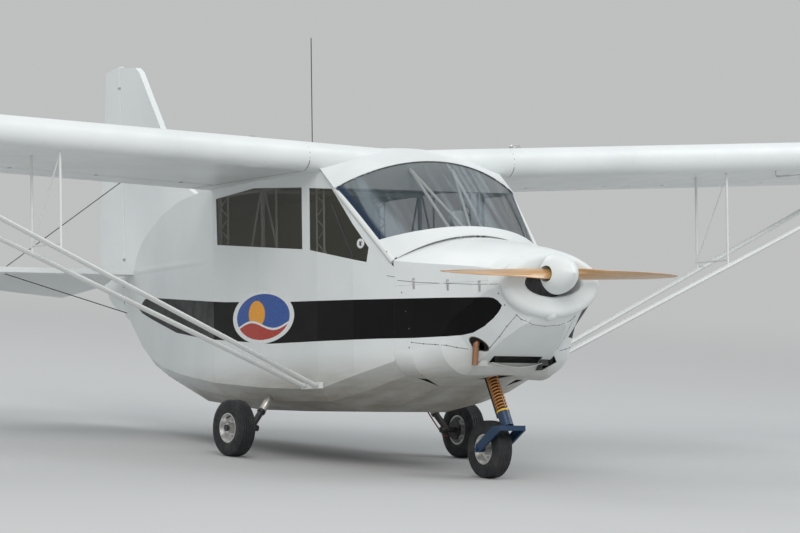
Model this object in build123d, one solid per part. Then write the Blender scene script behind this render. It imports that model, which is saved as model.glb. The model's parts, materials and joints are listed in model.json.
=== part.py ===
"""High-wing two-seat ultralight aircraft with tricycle gear.

Everything is drawn in the aircraft's own level frame, in millimetres: nose towards -Y,
left wing towards +X, +Z up, origin midway between the main wheels at axle height.
At the end every piece is tipped to the attitude at which the aircraft stands on its
three wheels and is set on the ground.
"""

import math
import os

from build123d import *

os.makedirs("parts", exist_ok=True)

# Stance on the ground
GROUND_ATTITUDE = 6.5
TYRE_RADIUS = 175.0
TYRE_WIDTH = 112.0
HALF_TRACK = 859.0
WHEELBASE = 1508.0
NOSE_WHEEL_DROP = WHEELBASE * math.tan(math.radians(GROUND_ATTITUDE))
BODY_SHIFT = -362.54

# Walls and clearances
SKIN = 3.0
GLASS = 3.0
COWL_SKIN = 4.0
RUNNING_GAP = 0.05
MOVING_GAP = 6.0
TOUCH_GAP = 0.3

# Fuselage, one row per frame from the firewall to the sternpost
# y, half width, top edge z, crown z, lower side edge z, chine half width, chine z, keel half width, keel z
FUSELAGE_FRAMES = [
    (-1320, 560, 1500, 1512, 363, 465, 280, 240, 213),
    (-980, 627, 1545, 1560, 287, 520, 200, 265, 121),
    (-630, 655, 1545, 1560, 215, 555, 145, 290, 85),
    (20, 652, 1535, 1560, 251, 555, 167, 290, 108),
    (590, 615, 1525, 1560, 303, 515, 218, 275, 138),
    (1325, 395, 1480, 1518, 386, 325, 308, 185, 219),
    (1700, 290, 1410, 1450, 450, 240, 390, 135, 335),
    (1945, 220, 1330, 1372, 515, 182, 470, 105, 425),
    (2120, 170, 1262, 1295, 595, 140, 560, 85, 525),
    (2240, 135, 1178, 1200, 678, 112, 655, 68, 630),
    (2296, 118, 1096, 1103, 712, 98, 692, 60, 668),
    (2400, 90, 1092, 1100, 788, 75, 775, 45, 760),
    (2535, 40, 1088, 1096, 822, 34, 812, 20, 804),
]
TAIL_BULKHEAD_Y = 2395.0
FIREWALL_THICKNESS = 4.0

# Cabin openings, as (y, z) outlines seen from the side
FRONT_WINDOW = [(-785, 1432), (-554, 1450), (-554, 1070), (-1095, 970), (-1115, 1057)]
REAR_WINDOW = [(-472, 1458), (72, 1485), (548, 1447), (538, 1159), (-472, 1079)]
DOOR = [(-815, 1457), (-512, 1469), (-512, 387), (-1060, 387), (-1165, 495), (-1165, 1005)]
ROOF_OPENING = (620.0, -875.0, 480.0)
DOOR_HINGE_X = 667.0
DOOR_HINGE_Z = 1463.0
DOOR_HINGE_ENDS = (-780.0, -550.0)
PANE_LAP = 14.0

# Windscreen edges: x, y and z of the corner, y and z of the middle
SCREEN_HEAD = (660.0, -852.0, 1430.0, -950.0, 1603.0)
SCREEN_BAND = (582.0, -1180.0, 1098.0, -1366.0, 1186.0)
SCREEN_BASE = (562.0, -1308.0, 974.0, -1420.0, 1132.0)
PILLAR_RADIUS = 17.0
HOOD_REAR_Y = -640.0
BRACE_HEAD = (160.0, -925.0, 1556.0)
BRACE_FEET = ((118.0, -1346.0, 1110.0), (0.0, -1362.0, 1112.0))

# Engine cowling, one row per section from the firewall forward
# y, half width, crown z, shoulder z, lower side z, bottom half width, bottom z, fullness of the lower corner
COWL_SECTIONS = [
    (-1324, 560, 1121, 968, 430, 380, 264, 0.76),
    (-1480, 530, 1111, 950, 425, 365, 252, 0.78),
    (-1690, 482, 1083, 930, 470, 300, 268, 0.68),
    (-1780, 462, 1068, 922, 600, 255, 352, 0.55),
    (-1960, 428, 1038, 905, 690, 215, 468, 0.54),
    (-2070, 392, 1015, 890, 760, 170, 535, 0.53),
]
BOWL_SECTIONS = [
    (-2071, 392, 1015, 890, 760, 170, 535, 0.53),
    (-2108, 370, 1004, 882, 768, 150, 556, 0.53),
    (-2142, 348, 990, 870, 800, 120, 596, 0.52),
]
COWL_SPLIT_Z = 815.0

# Nose ring about the cooling inlet: half width, half height, z and y of its front
NOSE_RING = (350.0, 200.0, 792.0, -2196.0)
RING_ROUNDING = 46.0
RING_GROOVE = 28.0
INLET_HALF_WIDTH = 205.0
INLET_HALF_HEIGHT = 82.0
INLET_Z = 800.0
INLET_ROUNDING = 16.0
CHIN = (46.0, -2146.0, 622.0)

# Belly fairing below the lower cowling: y, top half width, bottom half width, bottom z
BELLY_FAIRING = [(-1320, 400, 240, 213), (-1462, 300, 200, 253)]

# Air scoop in the front of the lower cowling, and the duct beside it
SCOOP_HALF_WIDTH = 180.0
SCOOP_LIP_Y = -1812.0
SCOOP_LIP_Z = 340.0
SCOOP_SAG = 26.0
SCOOP_HEIGHT = 38.0
DUCT_FRONT_Y = -1794.0
DUCT_SECTION = [(192, 298), (300, 348), (278, 396), (184, 352)]
SHEET = 3.0

# Cabin frame, welded from tubes: y and z of both ends and radius, in each side's plane
FRAME_X = 590.0
FRAME_TUBES = [
    (60, 268, 60, 1480, 14),
    (-93, 1050, -93, 1476, 7),
    (72, 1474, 215, 1050, 7),
    (38, 1474, -93, 1118, 7),
    (-450, 268, -450, 1050, 12),
    (-630, 1050, 560, 1050, 11),
    (-630, 1493, 560, 1462, 12),
    (560, 1462, 560, 340, 10),
    (-450, 340, 560, 340, 12),
]
FRAME_CROSS = [(60, 1468), (-612, 1484), (552, 1050)]
FRAME_CROSS_RADIUS = 13.0
# y of the two uprights of each narrow lattice column, and z of its top
FRAME_COLUMN_RIGHT = (-618.0, -538.0, 1488.0)
FRAME_COLUMN_LEFT = (-490.0, -410.0, 1484.0)
FRAME_COLUMN_REAR = (452.0, 532.0, 1460.0)
FRAME_SILL_Z = 1050.0

# Wing
WING_ROOT_X = 760.0
HALF_SPAN = 4850.0
CHORD = 1350.0
WING_LE_Y = -733.0
WING_LE_Z = 1582.0
INCIDENCE = 4.15
DIHEDRAL = 2.6
WING_SKIN = 3.0
RIB = 5.0
SPAR_SHARE = 0.77
WING_TIP_LENGTH = 260.0
CONTROL_CHORD = 290.0
CONTROL_NOSE = 36.0
CONTROL_GAP = 8.0
FLAP_INNER_X = 800.0
FLAP_OUTER_X = 2430.0
AILERON_INNER_X = 2445.0
AILERON_OUTER_X = 4560.0
CONTROL_HINGES = (0.12, 0.5, 0.88)
TIP_SCALE = 0.86
TIP_THICKNESS = 0.45

# Hinges of the doors and control surfaces
HINGE_PIN = 4.0
HINGE_KNUCKLE = 8.0
HINGE_WIDTH = 20.0

# Struts
STRUT_ROOT = (695.0, -654.0, 239.0)
STRUT_ROOT_SPREAD = 125.0
STRUT_TOP_X = 3950.0
FRONT_STRUT_TOP_Y = -600.0
REAR_STRUT_TOP_Y = -110.0
STRUT_CHORD = 56.0
STRUT_THICKNESS = 30.0
JURY_X = 2484.0
JURY_RADIUS = 8.0

# Tail
TAIL_SKIN = 3.0
FIN_THICKNESS = 42.0
RUDDER_THICKNESS = 38.0
RUDDER_POST_RADIUS = 19.0
STERN_HINGES = (905.0, 1010.0)
FIN_HINGES = (1180.0, 1720.0, 2300.0)
HINGE_TOP = (2615.0, 2443.0)
HINGE_BOTTOM = (2560.0, 836.0)
RUDDER_OUTLINE = [
    (2768, 2411), (2790, 2087), (2828, 1745), (2862, 1400), (2857, 1151),
    (2810, 1030), (2755, 936), (2660, 858),
]
FIN_OUTLINE = [(2409, 2423), (2362, 2392), (2108, 2008), (1905, 1690), (1760, 1585), (1560, 1490)]
TAILPLANE_Z = 1087.0
TAILPLANE_LE_Y = 2298.0
TAILPLANE_TE_Y = 2506.0
TAILPLANE_HALF_SPAN = 1240.0
TAILPLANE_THICKNESS = 34.0
ELEVATOR_SPAR_RADIUS = 14.0
ELEVATOR_CHORD = 380.0
ELEVATOR_TIP_CHORD = 205.0
ELEVATOR_INNER_X = 105.0
ELEVATOR_INNER_CHORD = 180.0
ELEVATOR_CUTBACK_X = 304.0
ELEVATOR_DROOP = 20.0
ELEVATOR_GAP = 8.0
ELEVATOR_AXIS_Y = TAILPLANE_TE_Y + ELEVATOR_SPAR_RADIUS + ELEVATOR_GAP
ELEVATOR_HINGES = (400.0, 1050.0)
TORQUE_PLUG_RADIUS = 8.0
TORQUE_PLUG_LENGTH = 30.0
STERN_NOTCH = (2500.0, 1062.0, 1112.0)

# Propeller
PROP_RADIUS = 860.0
PROP_AXIS_Z = 852.0
PROP_PLANE_Y = -2262.0
SPINNER_RADIUS = 122.0
SPINNER_BASE_Y = -2222.0
SPINNER_TIP_Y = -2410.0
SPINNER_WALL = 4.0
SPINNER_HOLE_RADIUS = 48.0
PROP_SHAFT_RADIUS = 24.0
PROP_SHAFT_END_Y = -1980.0

# Engine, as a plain block, and the tubes that carry it and the nose leg
ENGINE_LOW = (-210.0, -2030.0, 590.0)
ENGINE_HIGH = (210.0, -1500.0, 960.0)
MOUNT_TUBE_RADIUS = 11.0
EXHAUST_RADIUS = 19.0
EXHAUST_PATH = ((-190.0, -1800.0, 640.0), (-315.0, -1826.0, 446.0), (-318.0, -1815.0, 322.0))
# firewall end x and z, front end x, y and z
MOUNT_TUBES = [
    (240, 930, 150, -1500, 900),
    (240, 480, 150, -1500, 690),
    (60, 480, 150, -1500, 690),
    (190, 330, 18, -1500, 372),
    (60, 480, 18, -1500, 372),
]

# Main gear
WHEEL_BORE_RADIUS = 12.0
RIM_RADIUS = 92.0
HUB_HALF_LENGTH = 48.0
LEG_RADIUS = 20.0
LEG_TOP = (520.0, 20.0, 262.0)
LEG_FOOT_X = 736.0

# Nose gear, its leg as a raked line in the middle plane
NOSE_LEG_TOP = (-1500.0, 345.0)
NOSE_LEG_FOOT = (-1702.0, -50.0)
NOSE_TUBE_RADIUS = 21.0
SPRING_RADIUS = 33.0
SPRING_WIRE = 5.0
SPRING_TURNS = 13
FORK_HALF_WIDTH = 82.0
FORK_ARM = 14.0


def place(shape):
    """Tip a piece to the ground attitude and set it on the ground."""
    tipped = shape.rotate(Axis.X, -GROUND_ATTITUDE)
    return tipped.translate((0, BODY_SHIFT, TYRE_RADIUS))


def save(name, *pieces):
    """Write one node from its solids, standing as the aircraft stands."""
    placed = [place(biggest(piece)) for piece in pieces]
    whole = placed[0] if len(placed) == 1 else Compound(placed)
    export_step(whole, f"parts/{name}.step")


def mirror_x(shape):
    return shape.mirror(Plane.YZ)


def biggest(shape):
    """The main solid of a cut, without slivers."""
    return max(shape.solids(), key=lambda solid: solid.volume)


def wire_face(points):
    """A face from a closed list of 3-D points in one plane."""
    return Face(Polyline(*points, close=True).wire())


def side_prism(outline, x_from, x_to):
    """A prism across the aircraft from a (y, z) outline."""
    face = wire_face([(x_from, y, z) for y, z in outline])
    return extrude(face, amount=x_to - x_from, dir=(1, 0, 0))


def grown(outline, amount):
    """A (y, z) outline moved outwards by an amount, corner by corner."""
    face = wire_face([(0, y, z) for y, z in outline])
    moved = offset(face, amount=amount, kind=Kind.INTERSECTION)
    return moved


def grown_prism(outline, amount, x_from, x_to):
    """A prism like side_prism, from an outline grown by an amount."""
    face = grown(outline, amount).faces()[0].translate((x_from, 0, 0))
    return extrude(face, amount=x_to - x_from, dir=(1, 0, 0))


def rod(start, end, radius):
    """A round bar between two points."""
    start = Vector(*start)
    end = Vector(*end)
    length = (end - start).length
    plane = Plane(origin=start, z_dir=end - start)
    return extrude(plane * Circle(radius), amount=length)


def streamlined_rod(start, end, chord, thickness):
    """A flattened bar between two points, its long axis along the flight direction."""
    start = Vector(*start)
    end = Vector(*end)
    length = (end - start).length
    plane = Plane(origin=start, z_dir=end - start, x_dir=(0, 1, 0))
    half = chord / 2
    depth = thickness / 2
    upper = ThreePointArc((-half, 0), (0, depth), (half, 0))
    lower = ThreePointArc((half, 0), (0, -depth), (-half, 0))
    profile = Face(Wire([upper.edge(), lower.edge()]))
    return extrude(plane * profile, amount=length, dir=tuple((end - start).normalized()))


def box_between(low, high):
    """A box from its lowest to its highest corner."""
    size = [b - a for a, b in zip(low, high)]
    middle = [(a + b) / 2 for a, b in zip(low, high)]
    return Box(*size).translate(tuple(middle))


def hinge(point, direction, anchor, room):
    """One hinge: the fixed lug with its bore, the room that it needs in the moving piece, and the pin."""
    point = Vector(*point)
    direction = Vector(*direction).normalized()
    reach = Vector(*anchor) - point
    half = direction * (HINGE_WIDTH / 2)
    plane = Plane(origin=point, x_dir=direction, z_dir=reach)
    arm = extrude(plane * Rectangle(HINGE_WIDTH, 1.6 * HINGE_KNUCKLE), amount=reach.length)
    knuckle = rod(point - half, point + half, HINGE_KNUCKLE)
    lug = arm + knuckle - rod(point - half * 2, point + half * 2, HINGE_PIN + RUNNING_GAP)
    room_half = direction * (HINGE_WIDTH / 2 + TOUCH_GAP)
    notch = rod(point - room_half, point + room_half, room)
    pin = rod(point - half * 1.8, point + half * 1.8, HINGE_PIN)
    return lug, notch, pin


def fuselage_section(row, inset):
    """One closed fuselage frame, inset by a wall thickness."""
    y, half, edge, crown, low, chine_half, chine_z, keel_half, keel_z = row
    right = [
        (keel_half - inset / 2, keel_z + inset),
        (chine_half - inset / 2, chine_z + inset),
        (half - inset, low + inset / 2),
        (half - inset, edge - inset),
        (half / 2, (edge + crown) / 2 + 4 - inset),
        (0, crown - inset),
    ]
    left = [(-x, z) for x, z in reversed(right[:-1])]
    return wire_face([(x, y, z) for x, z in right + left])


def fuselage_loft(inset, last_y=None):
    """The fuselage as one solid; inset pieces are what its walls enclose."""
    rows = [row for row in FUSELAGE_FRAMES if last_y is None or row[0] < last_y]
    sections = [fuselage_section(row, inset) for row in rows]
    return loft(sections, ruled=True)


def wall_x(y):
    """Half width of the fuselage at one y."""
    for front, back in zip(FUSELAGE_FRAMES, FUSELAGE_FRAMES[1:]):
        if front[0] <= y <= back[0]:
            return front[1] + (y - front[0]) / (back[0] - front[0]) * (back[1] - front[1])
    raise ValueError(y)


def pillar_ends():
    """Foot and head of the axis of the left windscreen pillar."""
    head_x, head_y, head_z = SCREEN_HEAD[:3]
    base_x, base_y, base_z = SCREEN_BASE[:3]
    return (base_x - 4, base_y - 4, base_z - 12), (head_x - 12, head_y + 14, head_z - 4)


def pillar_wedge():
    """What the windscreen pillars cut off the front of the cabin."""
    foot, head = pillar_ends()
    rake = math.atan2(head[2] - foot[2], head[1] - foot[1])
    clear = PILLAR_RADIUS + 1.5
    aft = clear * math.sin(rake)
    drop = clear * math.cos(rake)
    low = (foot[1] + aft - 60 * math.cos(rake), foot[2] - drop - 60 * math.sin(rake))
    high = (head[1] + aft, head[2] - drop)
    outline = [low, high, (high[0], 1700), (low[0], 1700)]
    return side_prism(outline, -900, 900)


def cabin_walls():
    """The hollow fuselage wall before the door and windows are cut."""
    outer = fuselage_loft(0)
    inner = fuselage_loft(SKIN, TAIL_BULKHEAD_Y)
    half, front, back = ROOF_OPENING
    roof_hole = box_between((-half, front, 1400), (half, back, 1700))
    return outer - inner - pillar_wedge() - roof_hole


def pane_layer():
    """The sheet just inside the walls, from which the side panes are cut."""
    outer = fuselage_loft(SKIN, 800)
    inner = fuselage_loft(SKIN + GLASS, 800)
    return outer - inner


def build_fuselage():
    walls = cabin_walls()
    walls -= wing_centre()
    walls -= hood_body()
    tail_top = box_between((-400, TAILPLANE_LE_Y, TAILPLANE_Z - TAILPLANE_THICKNESS / 2), (400, 2700, 1400))
    notch_y, notch_low, notch_high = STERN_NOTCH
    spar_room = box_between((-100, notch_y, notch_low), (100, 2700, notch_high))
    skin = walls - grown_prism(DOOR, MOVING_GAP, 300, 900)
    skin -= side_prism(FRONT_WINDOW, -900, -300)
    skin -= side_prism(REAR_WINDOW, -900, 900)
    skin = skin - tail_top - spar_room
    skin = biggest(skin)

    first, last = DOOR_HINGE_ENDS
    barrel = rod((DOOR_HINGE_X, first, DOOR_HINGE_Z), (DOOR_HINGE_X, last, DOOR_HINGE_Z), HINGE_KNUCKLE)
    widest_y = FUSELAGE_FRAMES[2][0]
    plan = [(wall_x(y) - SKIN / 2, y) for y in (first, widest_y, last)]
    plan += [(DOOR_HINGE_X - 2, last), (DOOR_HINGE_X - 2, first)]
    leaf_face = wire_face([(x, y, DOOR_HINGE_Z - 45) for x, y in plan])
    leaf = extrude(leaf_face, amount=45, dir=(0, 0, 1))
    handle = box_between((DOOR_HINGE_X - 22, -680, 905), (DOOR_HINGE_X + 10, -580, 925))
    door = (walls & side_prism(DOOR, 300, 900)) - side_prism(FRONT_WINDOW, 300, 900)
    door += barrel + leaf + handle
    for end, step in ((first, -1), (last, 1)):
        y = end + step * (HINGE_WIDTH / 2 + TOUCH_GAP)
        centre = (DOOR_HINGE_X, y, DOOR_HINGE_Z)
        lug, _, pin = hinge(centre, (0, 1, 0), (DOOR_HINGE_X - 15, y, DOOR_HINGE_Z + 22), HINGE_KNUCKLE)
        skin += lug
        door += pin
    for z in STERN_HINGES:
        skin += rudder_hinge(z)[0]
    save("fuselage_skin", skin)
    save("door_left", door)

    layer = pane_layer()
    front = layer & grown_prism(FRONT_WINDOW, PANE_LAP, -900, -300)
    rear_right = layer & grown_prism(REAR_WINDOW, PANE_LAP, -900, -300)
    rear_left = layer & grown_prism(REAR_WINDOW, PANE_LAP, 300, 900)
    save("side_windows", front, rear_right, rear_left)
    save("door_pane", layer & grown_prism(FRONT_WINDOW, PANE_LAP, 300, 900))


def arc_strip(edge, thickness):
    """The cross-section of a bent sheet whose outer edge is an arc through three points."""
    x, y, z, mid_y, mid_z = edge
    outer = ThreePointArc((-x, y, z), (0, mid_y, mid_z), (x, y, z))
    length = math.hypot(mid_y - y, mid_z - z)
    back = thickness
    inner_mid = (0, mid_y - (mid_y - y) / length * back, mid_z - (mid_z - z) / length * back)
    inner = ThreePointArc((-x + back, y, z), inner_mid, (x - back, y, z))
    ends = [Line(outer @ 1, inner @ 1), Line(inner @ 0, outer @ 0)]
    return Face(Wire([outer.edge(), ends[0].edge(), inner.edge(), ends[1].edge()]))


def pillar_tubes():
    """The two tubes that the windscreen's side edges are fixed to."""
    left = rod(*pillar_ends(), PILLAR_RADIUS)
    return mirror_x(left), left


def build_windscreen():
    right, left = pillar_tubes()
    fairing = hood_body()
    body = fairing + wing_centre()
    cowl = cowl_loft(COWL_SECTIONS, 0)
    walls = cabin_walls()
    save("pillars", right - cowl - fairing, left - cowl - fairing)
    band = loft([arc_strip(SCREEN_BASE, GLASS), arc_strip(SCREEN_BAND, GLASS)], ruled=True)
    glass = loft([arc_strip(SCREEN_BAND, GLASS), arc_strip(SCREEN_HEAD, GLASS)], ruled=True)
    save("windscreen", biggest(glass - right - left - body - walls))
    save("screen_band", biggest(band - right - left - cowl - walls))


def cowl_section(row, inset):
    """One cowling section: an arched top, straight sides, rounded lower corners and a flat bottom."""
    y, half, crown, shoulder, low, bottom_half, bottom, fullness = row
    half -= inset
    crown -= inset
    bottom_half -= inset / 2
    bottom += inset
    corner = (bottom_half + fullness * (half - bottom_half), bottom + (1 - fullness) * (low - bottom))
    top = ThreePointArc((-half, y, shoulder), (0, y, crown), (half, y, shoulder))
    right = Line((half, y, shoulder), (half, y, low))
    right_corner = ThreePointArc((half, y, low), (corner[0], y, corner[1]), (bottom_half, y, bottom))
    floor = Line((bottom_half, y, bottom), (-bottom_half, y, bottom))
    left_corner = ThreePointArc((-bottom_half, y, bottom), (-corner[0], y, corner[1]), (-half, y, low))
    left = Line((-half, y, low), (-half, y, shoulder))
    edges = [top, right, right_corner, floor, left_corner, left]
    return Face(Wire([edge.edge() for edge in edges]))


def cowl_loft(rows, inset):
    return loft([cowl_section(row, inset) for row in rows], ruled=True)


def build_cowling():
    shell = cowl_loft(COWL_SECTIONS, 0) - cowl_loft(COWL_SECTIONS, COWL_SKIN)
    above = box_between((-900, -2300, COWL_SPLIT_Z), (900, -1000, 1400))
    below = box_between((-900, -2300, 0), (900, -1000, COWL_SPLIT_Z - 1))
    save("cowl_upper", (shell & above).solid())
    lower = shell & below
    scoop_high = SCOOP_LIP_Z + SCOOP_HEIGHT
    scoop_top = box_between((-SCOOP_HALF_WIDTH, -1900, SCOOP_LIP_Z), (SCOOP_HALF_WIDTH, -1690, scoop_high))
    leg_hole = box_between((-60, -1690, 200), (60, -1440, 300))
    bend, tip = EXHAUST_PATH[1:]
    pipe_hole = rod((bend[0] + 60, bend[1] + 10, bend[2] + 10), (bend[0] - 120, bend[1] - 40, bend[2] - 60), EXHAUST_RADIUS + 18)
    duct_hole = long_prism(DUCT_SECTION, SHEET, DUCT_FRONT_Y, -1600)
    save("cowl_lower", biggest(lower - scoop_top - leg_hole - pipe_hole - duct_hole))
    build_scoop()
    build_belly_fairing()

    build_nose_bowl()

    plate = extrude(cowl_section(COWL_SECTIONS[0], 0), amount=FIREWALL_THICKNESS, dir=(0, 1, 0))
    right, left = pillar_tubes()
    save("firewall", biggest(plate - right - left))


def elliptical_disc(radii, z, y_from, y_to):
    """A disc across the aircraft with half its width and half its height as radii."""
    plane = Plane(origin=(0, y_to, z), x_dir=(1, 0, 0), z_dir=(0, -1, 0))
    return extrude(plane * Ellipse(*radii), amount=y_to - y_from)


def build_nose_bowl():
    """The hollow bowl, and the rounded ring about the inlet with the chin below it."""
    half, height, ring_z, front_y = NOSE_RING
    back_y = BOWL_SECTIONS[0][0]
    face_y = BOWL_SECTIONS[-1][0]
    inlet = elliptical_disc((INLET_HALF_WIDTH, INLET_HALF_HEIGHT), INLET_Z, front_y - 40, back_y + 40)
    wall = COWL_SKIN
    throat = elliptical_disc((INLET_HALF_WIDTH + wall, INLET_HALF_HEIGHT + wall), INLET_Z, front_y - 40, back_y)
    front = box_between((-900, front_y - 40, 0), (900, face_y + wall, 1400))
    core = cowl_loft(BOWL_SECTIONS, wall) - front - throat
    bowl = cowl_loft(BOWL_SECTIONS, 0) - core - inlet

    ring = elliptical_disc((half, height), ring_z, front_y, face_y) - inlet
    inner_edge = min(ring.edges().group_by(Axis.Y)[0], key=lambda edge: edge.length)
    ring = fillet(inner_edge, INLET_ROUNDING)
    outer_edge = max(ring.edges().group_by(Axis.Y)[0], key=lambda edge: edge.length)
    ring = fillet(outer_edge, RING_ROUNDING)
    chin_radius, chin_y, chin_z = CHIN
    chin = Sphere(chin_radius, rotation=(0, 90, 0)).translate((0, chin_y, chin_z))
    chin -= box_between((-200, face_y, 0), (200, back_y, 1400))
    ring += chin
    groove = elliptical_disc((half - 2 * wall, height - 2 * wall), ring_z, face_y - RING_GROOVE, face_y)
    groove -= elliptical_disc((INLET_HALF_WIDTH + 5 * wall, INLET_HALF_HEIGHT + 5 * wall), INLET_Z, front_y, face_y)
    save("nose_bowl", bowl, ring - groove)


def long_prism(outline, inset, y_from, y_to):
    """A prism along the aircraft from an (x, z) outline, drawn in by an amount."""
    face = wire_face([(x, y_from, z) for x, z in outline])
    if inset:
        face = offset(face, amount=-inset, kind=Kind.INTERSECTION).faces()[0]
    return extrude(face, amount=y_to - y_from, dir=(0, 1, 0))


def build_scoop():
    """The bent lip of the air scoop with the bracket at its right, and the open duct at its left."""
    half = SCOOP_HALF_WIDTH
    cowl = cowl_loft(COWL_SECTIONS, 0)
    front = SCOOP_LIP_Y
    back = front + 110
    middle = SCOOP_LIP_Z - SCOOP_SAG
    upper = ThreePointArc((-half, front, SCOOP_LIP_Z), (0, front, middle), (half, front, SCOOP_LIP_Z))
    lower = ThreePointArc((-half, front, SCOOP_LIP_Z - SHEET), (0, front, middle - SHEET), (half, front, SCOOP_LIP_Z - SHEET))
    ends = [Line(upper @ 1, lower @ 1), Line(lower @ 0, upper @ 0)]
    lip_face = Face(Wire([upper.edge(), ends[0].edge(), lower.edge(), ends[1].edge()]))
    lip = extrude(lip_face, amount=back - front, dir=(0, 1, 0))
    flange = box_between((-half - 110, front + 12, 318), (-half - TOUCH_GAP, back, 318 + SHEET))
    bracket = long_prism([(-half - 20, 386), (-half - 20, 318), (-half - 105, 318)], 0, front + 32, front + 32 + SHEET)
    save("scoop", lip - cowl, (flange + bracket) - cowl)
    outer = long_prism(DUCT_SECTION, 0, DUCT_FRONT_Y, -1660)
    inner = long_prism(DUCT_SECTION, SHEET, DUCT_FRONT_Y, -1600)
    plate_low = (SCOOP_HALF_WIDTH + TOUCH_GAP, DUCT_FRONT_Y - SHEET, 326)
    plate = box_between(plate_low, (236, DUCT_FRONT_Y, 368))
    save("air_duct", outer - inner - cowl, plate - cowl)


def build_belly_fairing():
    """The hollow fairing that takes the belly's rise forward under the lower cowling."""
    def section(row, inset):
        y, top_half, low_half, low_z = row
        top = 290.0
        points = [
            (-top_half + inset, y, top), (-low_half + inset / 2, y, low_z + inset),
            (low_half - inset / 2, y, low_z + inset), (top_half - inset, y, top),
        ]
        return wire_face(points)

    outer = loft([section(row, 0) for row in BELLY_FAIRING], ruled=True)
    inner = loft([section(row, SHEET) for row in BELLY_FAIRING], ruled=True)
    cowl = cowl_loft(COWL_SECTIONS, 0)
    front_y = FUSELAGE_FRAMES[0][0] - FIREWALL_THICKNESS
    behind = box_between((-900, front_y, 0), (900, front_y + 100, 400))
    save("belly_fairing", outer - inner - cowl - behind)


def wing_point(x, along, up, scale=1.0, thickness=1.0):
    """A point of the wing section at span station x, from shares of the chord."""
    along_y = along * CHORD * scale
    up_z = up * CHORD * scale * thickness
    turn = math.radians(INCIDENCE)
    y = WING_LE_Y + along_y * math.cos(turn) + up_z * math.sin(turn)
    z = WING_LE_Z + abs(x) * math.tan(math.radians(DIHEDRAL))
    z += up_z * math.cos(turn) - along_y * math.sin(turn)
    return (x, y, z)


def airfoil(x, scale=1.0, thickness=1.0):
    """The wing section at span station x, as a face across the span."""
    def point(along, up):
        return wing_point(x, along, up, scale, thickness)

    nose = ThreePointArc(point(0.09, -0.046), point(0.0, 0.010), point(0.10, 0.079))
    crest = ThreePointArc(point(0.10, 0.079), point(0.30, 0.103), point(0.60, 0.079))
    back = Line(point(0.60, 0.079), point(1.0, 0.006))
    edge = Line(point(1.0, 0.006), point(1.0, -0.006))
    floor = Line(point(1.0, -0.006), point(0.09, -0.046))
    return Face(Wire([nose.edge(), crest.edge(), back.edge(), edge.edge(), floor.edge()]))


def wing_upper(share):
    """Height of the upper surface behind the crest, as a share of the chord."""
    return 0.079 - (share - 0.60) / 0.40 * 0.073


def wing_lower(share):
    """Height of the flat lower surface, as a share of the chord."""
    return -0.046 + (share - 0.09) / 0.91 * 0.040


def airfoil_core(x, back_share, scale=1.0, thickness=1.0):
    """The hollow of the wing section at span station x, as far back as a share of the chord."""
    wall = WING_SKIN / (CHORD * scale * thickness)

    def point(along, up):
        return wing_point(x, along, up, scale, thickness)

    nose = ThreePointArc(point(0.09, -0.046 + wall), point(1.5 * WING_SKIN / CHORD, 0.010), point(0.10, 0.079 - wall))
    crest = ThreePointArc(point(0.10, 0.079 - wall), point(0.30, 0.103 - wall), point(0.60, 0.079 - wall))
    back = Line(point(0.60, 0.079 - wall), point(back_share, wing_upper(back_share) - wall))
    spar = Line(point(back_share, wing_upper(back_share) - wall), point(back_share, wing_lower(back_share) + wall))
    floor = Line(point(back_share, wing_lower(back_share) + wall), point(0.09, -0.046 + wall))
    return Face(Wire([nose.edge(), crest.edge(), back.edge(), spar.edge(), floor.edge()]))


def control_core(x, front_share, back_share):
    """The hollow of a flap or aileron at span station x."""
    wall = WING_SKIN / CHORD
    corners = [
        (front_share, wing_lower(front_share) + wall), (back_share, wing_lower(back_share) + wall),
        (back_share, wing_upper(back_share) - wall), (front_share, wing_upper(front_share) - wall),
    ]
    return wire_face([wing_point(x, share, up) for share, up in corners])


def control_front():
    return WING_LE_Y + CHORD * math.cos(math.radians(INCIDENCE)) - CONTROL_CHORD


def control_axis(x):
    """The hinge line of the flaps and ailerons, half way up the wing's rear part."""
    turn = math.radians(INCIDENCE)
    y = control_front() + CONTROL_NOSE
    share = (y - WING_LE_Y) / math.cos(turn) / CHORD
    z = WING_LE_Z + x * math.tan(math.radians(DIHEDRAL))
    z += (wing_upper(share) + wing_lower(share)) / 2 * CHORD * math.cos(turn) - share * CHORD * math.sin(turn)
    return (x, y, z)


def control_block(inner_x, outer_x, grow):
    """The block at the trailing edge that a flap or aileron takes out of the wing."""
    front_y = control_front()
    return box_between((inner_x - grow, front_y - grow, 1200), (outer_x + grow, front_y + 700, 2100))


def control_surface(wing, inner_x, outer_x):
    """A flap or aileron: the wing's rear part, with a round nose about the hinge line."""
    nose = rod(control_axis(inner_x - 50), control_axis(outer_x + 50), CONTROL_NOSE)
    aft = box_between((inner_x, control_front() + CONTROL_NOSE, 1200), (outer_x, control_front() + 700, 2100))
    return wing & control_block(inner_x, outer_x, 0) & (nose + aft)


def control_hollows(inner_x, outer_x):
    """The hollows of a flap or aileron, between its end ribs and the ribs at its hinges."""
    front_share = (control_front() + CONTROL_NOSE + 12 - WING_LE_Y) / CHORD
    stops = [inner_x + RIB]
    for share in CONTROL_HINGES:
        centre_x = inner_x + share * (outer_x - inner_x)
        stops += [centre_x - HINGE_WIDTH / 2 - RIB, centre_x + HINGE_WIDTH / 2 + RIB]
    stops.append(outer_x - RIB)
    hollows = []
    for start, end in zip(stops[::2], stops[1::2]):
        sections = [control_core(start, front_share, 0.97), control_core(end, front_share, 0.97)]
        hollows.append(loft(sections, ruled=True))
    return hollows


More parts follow.
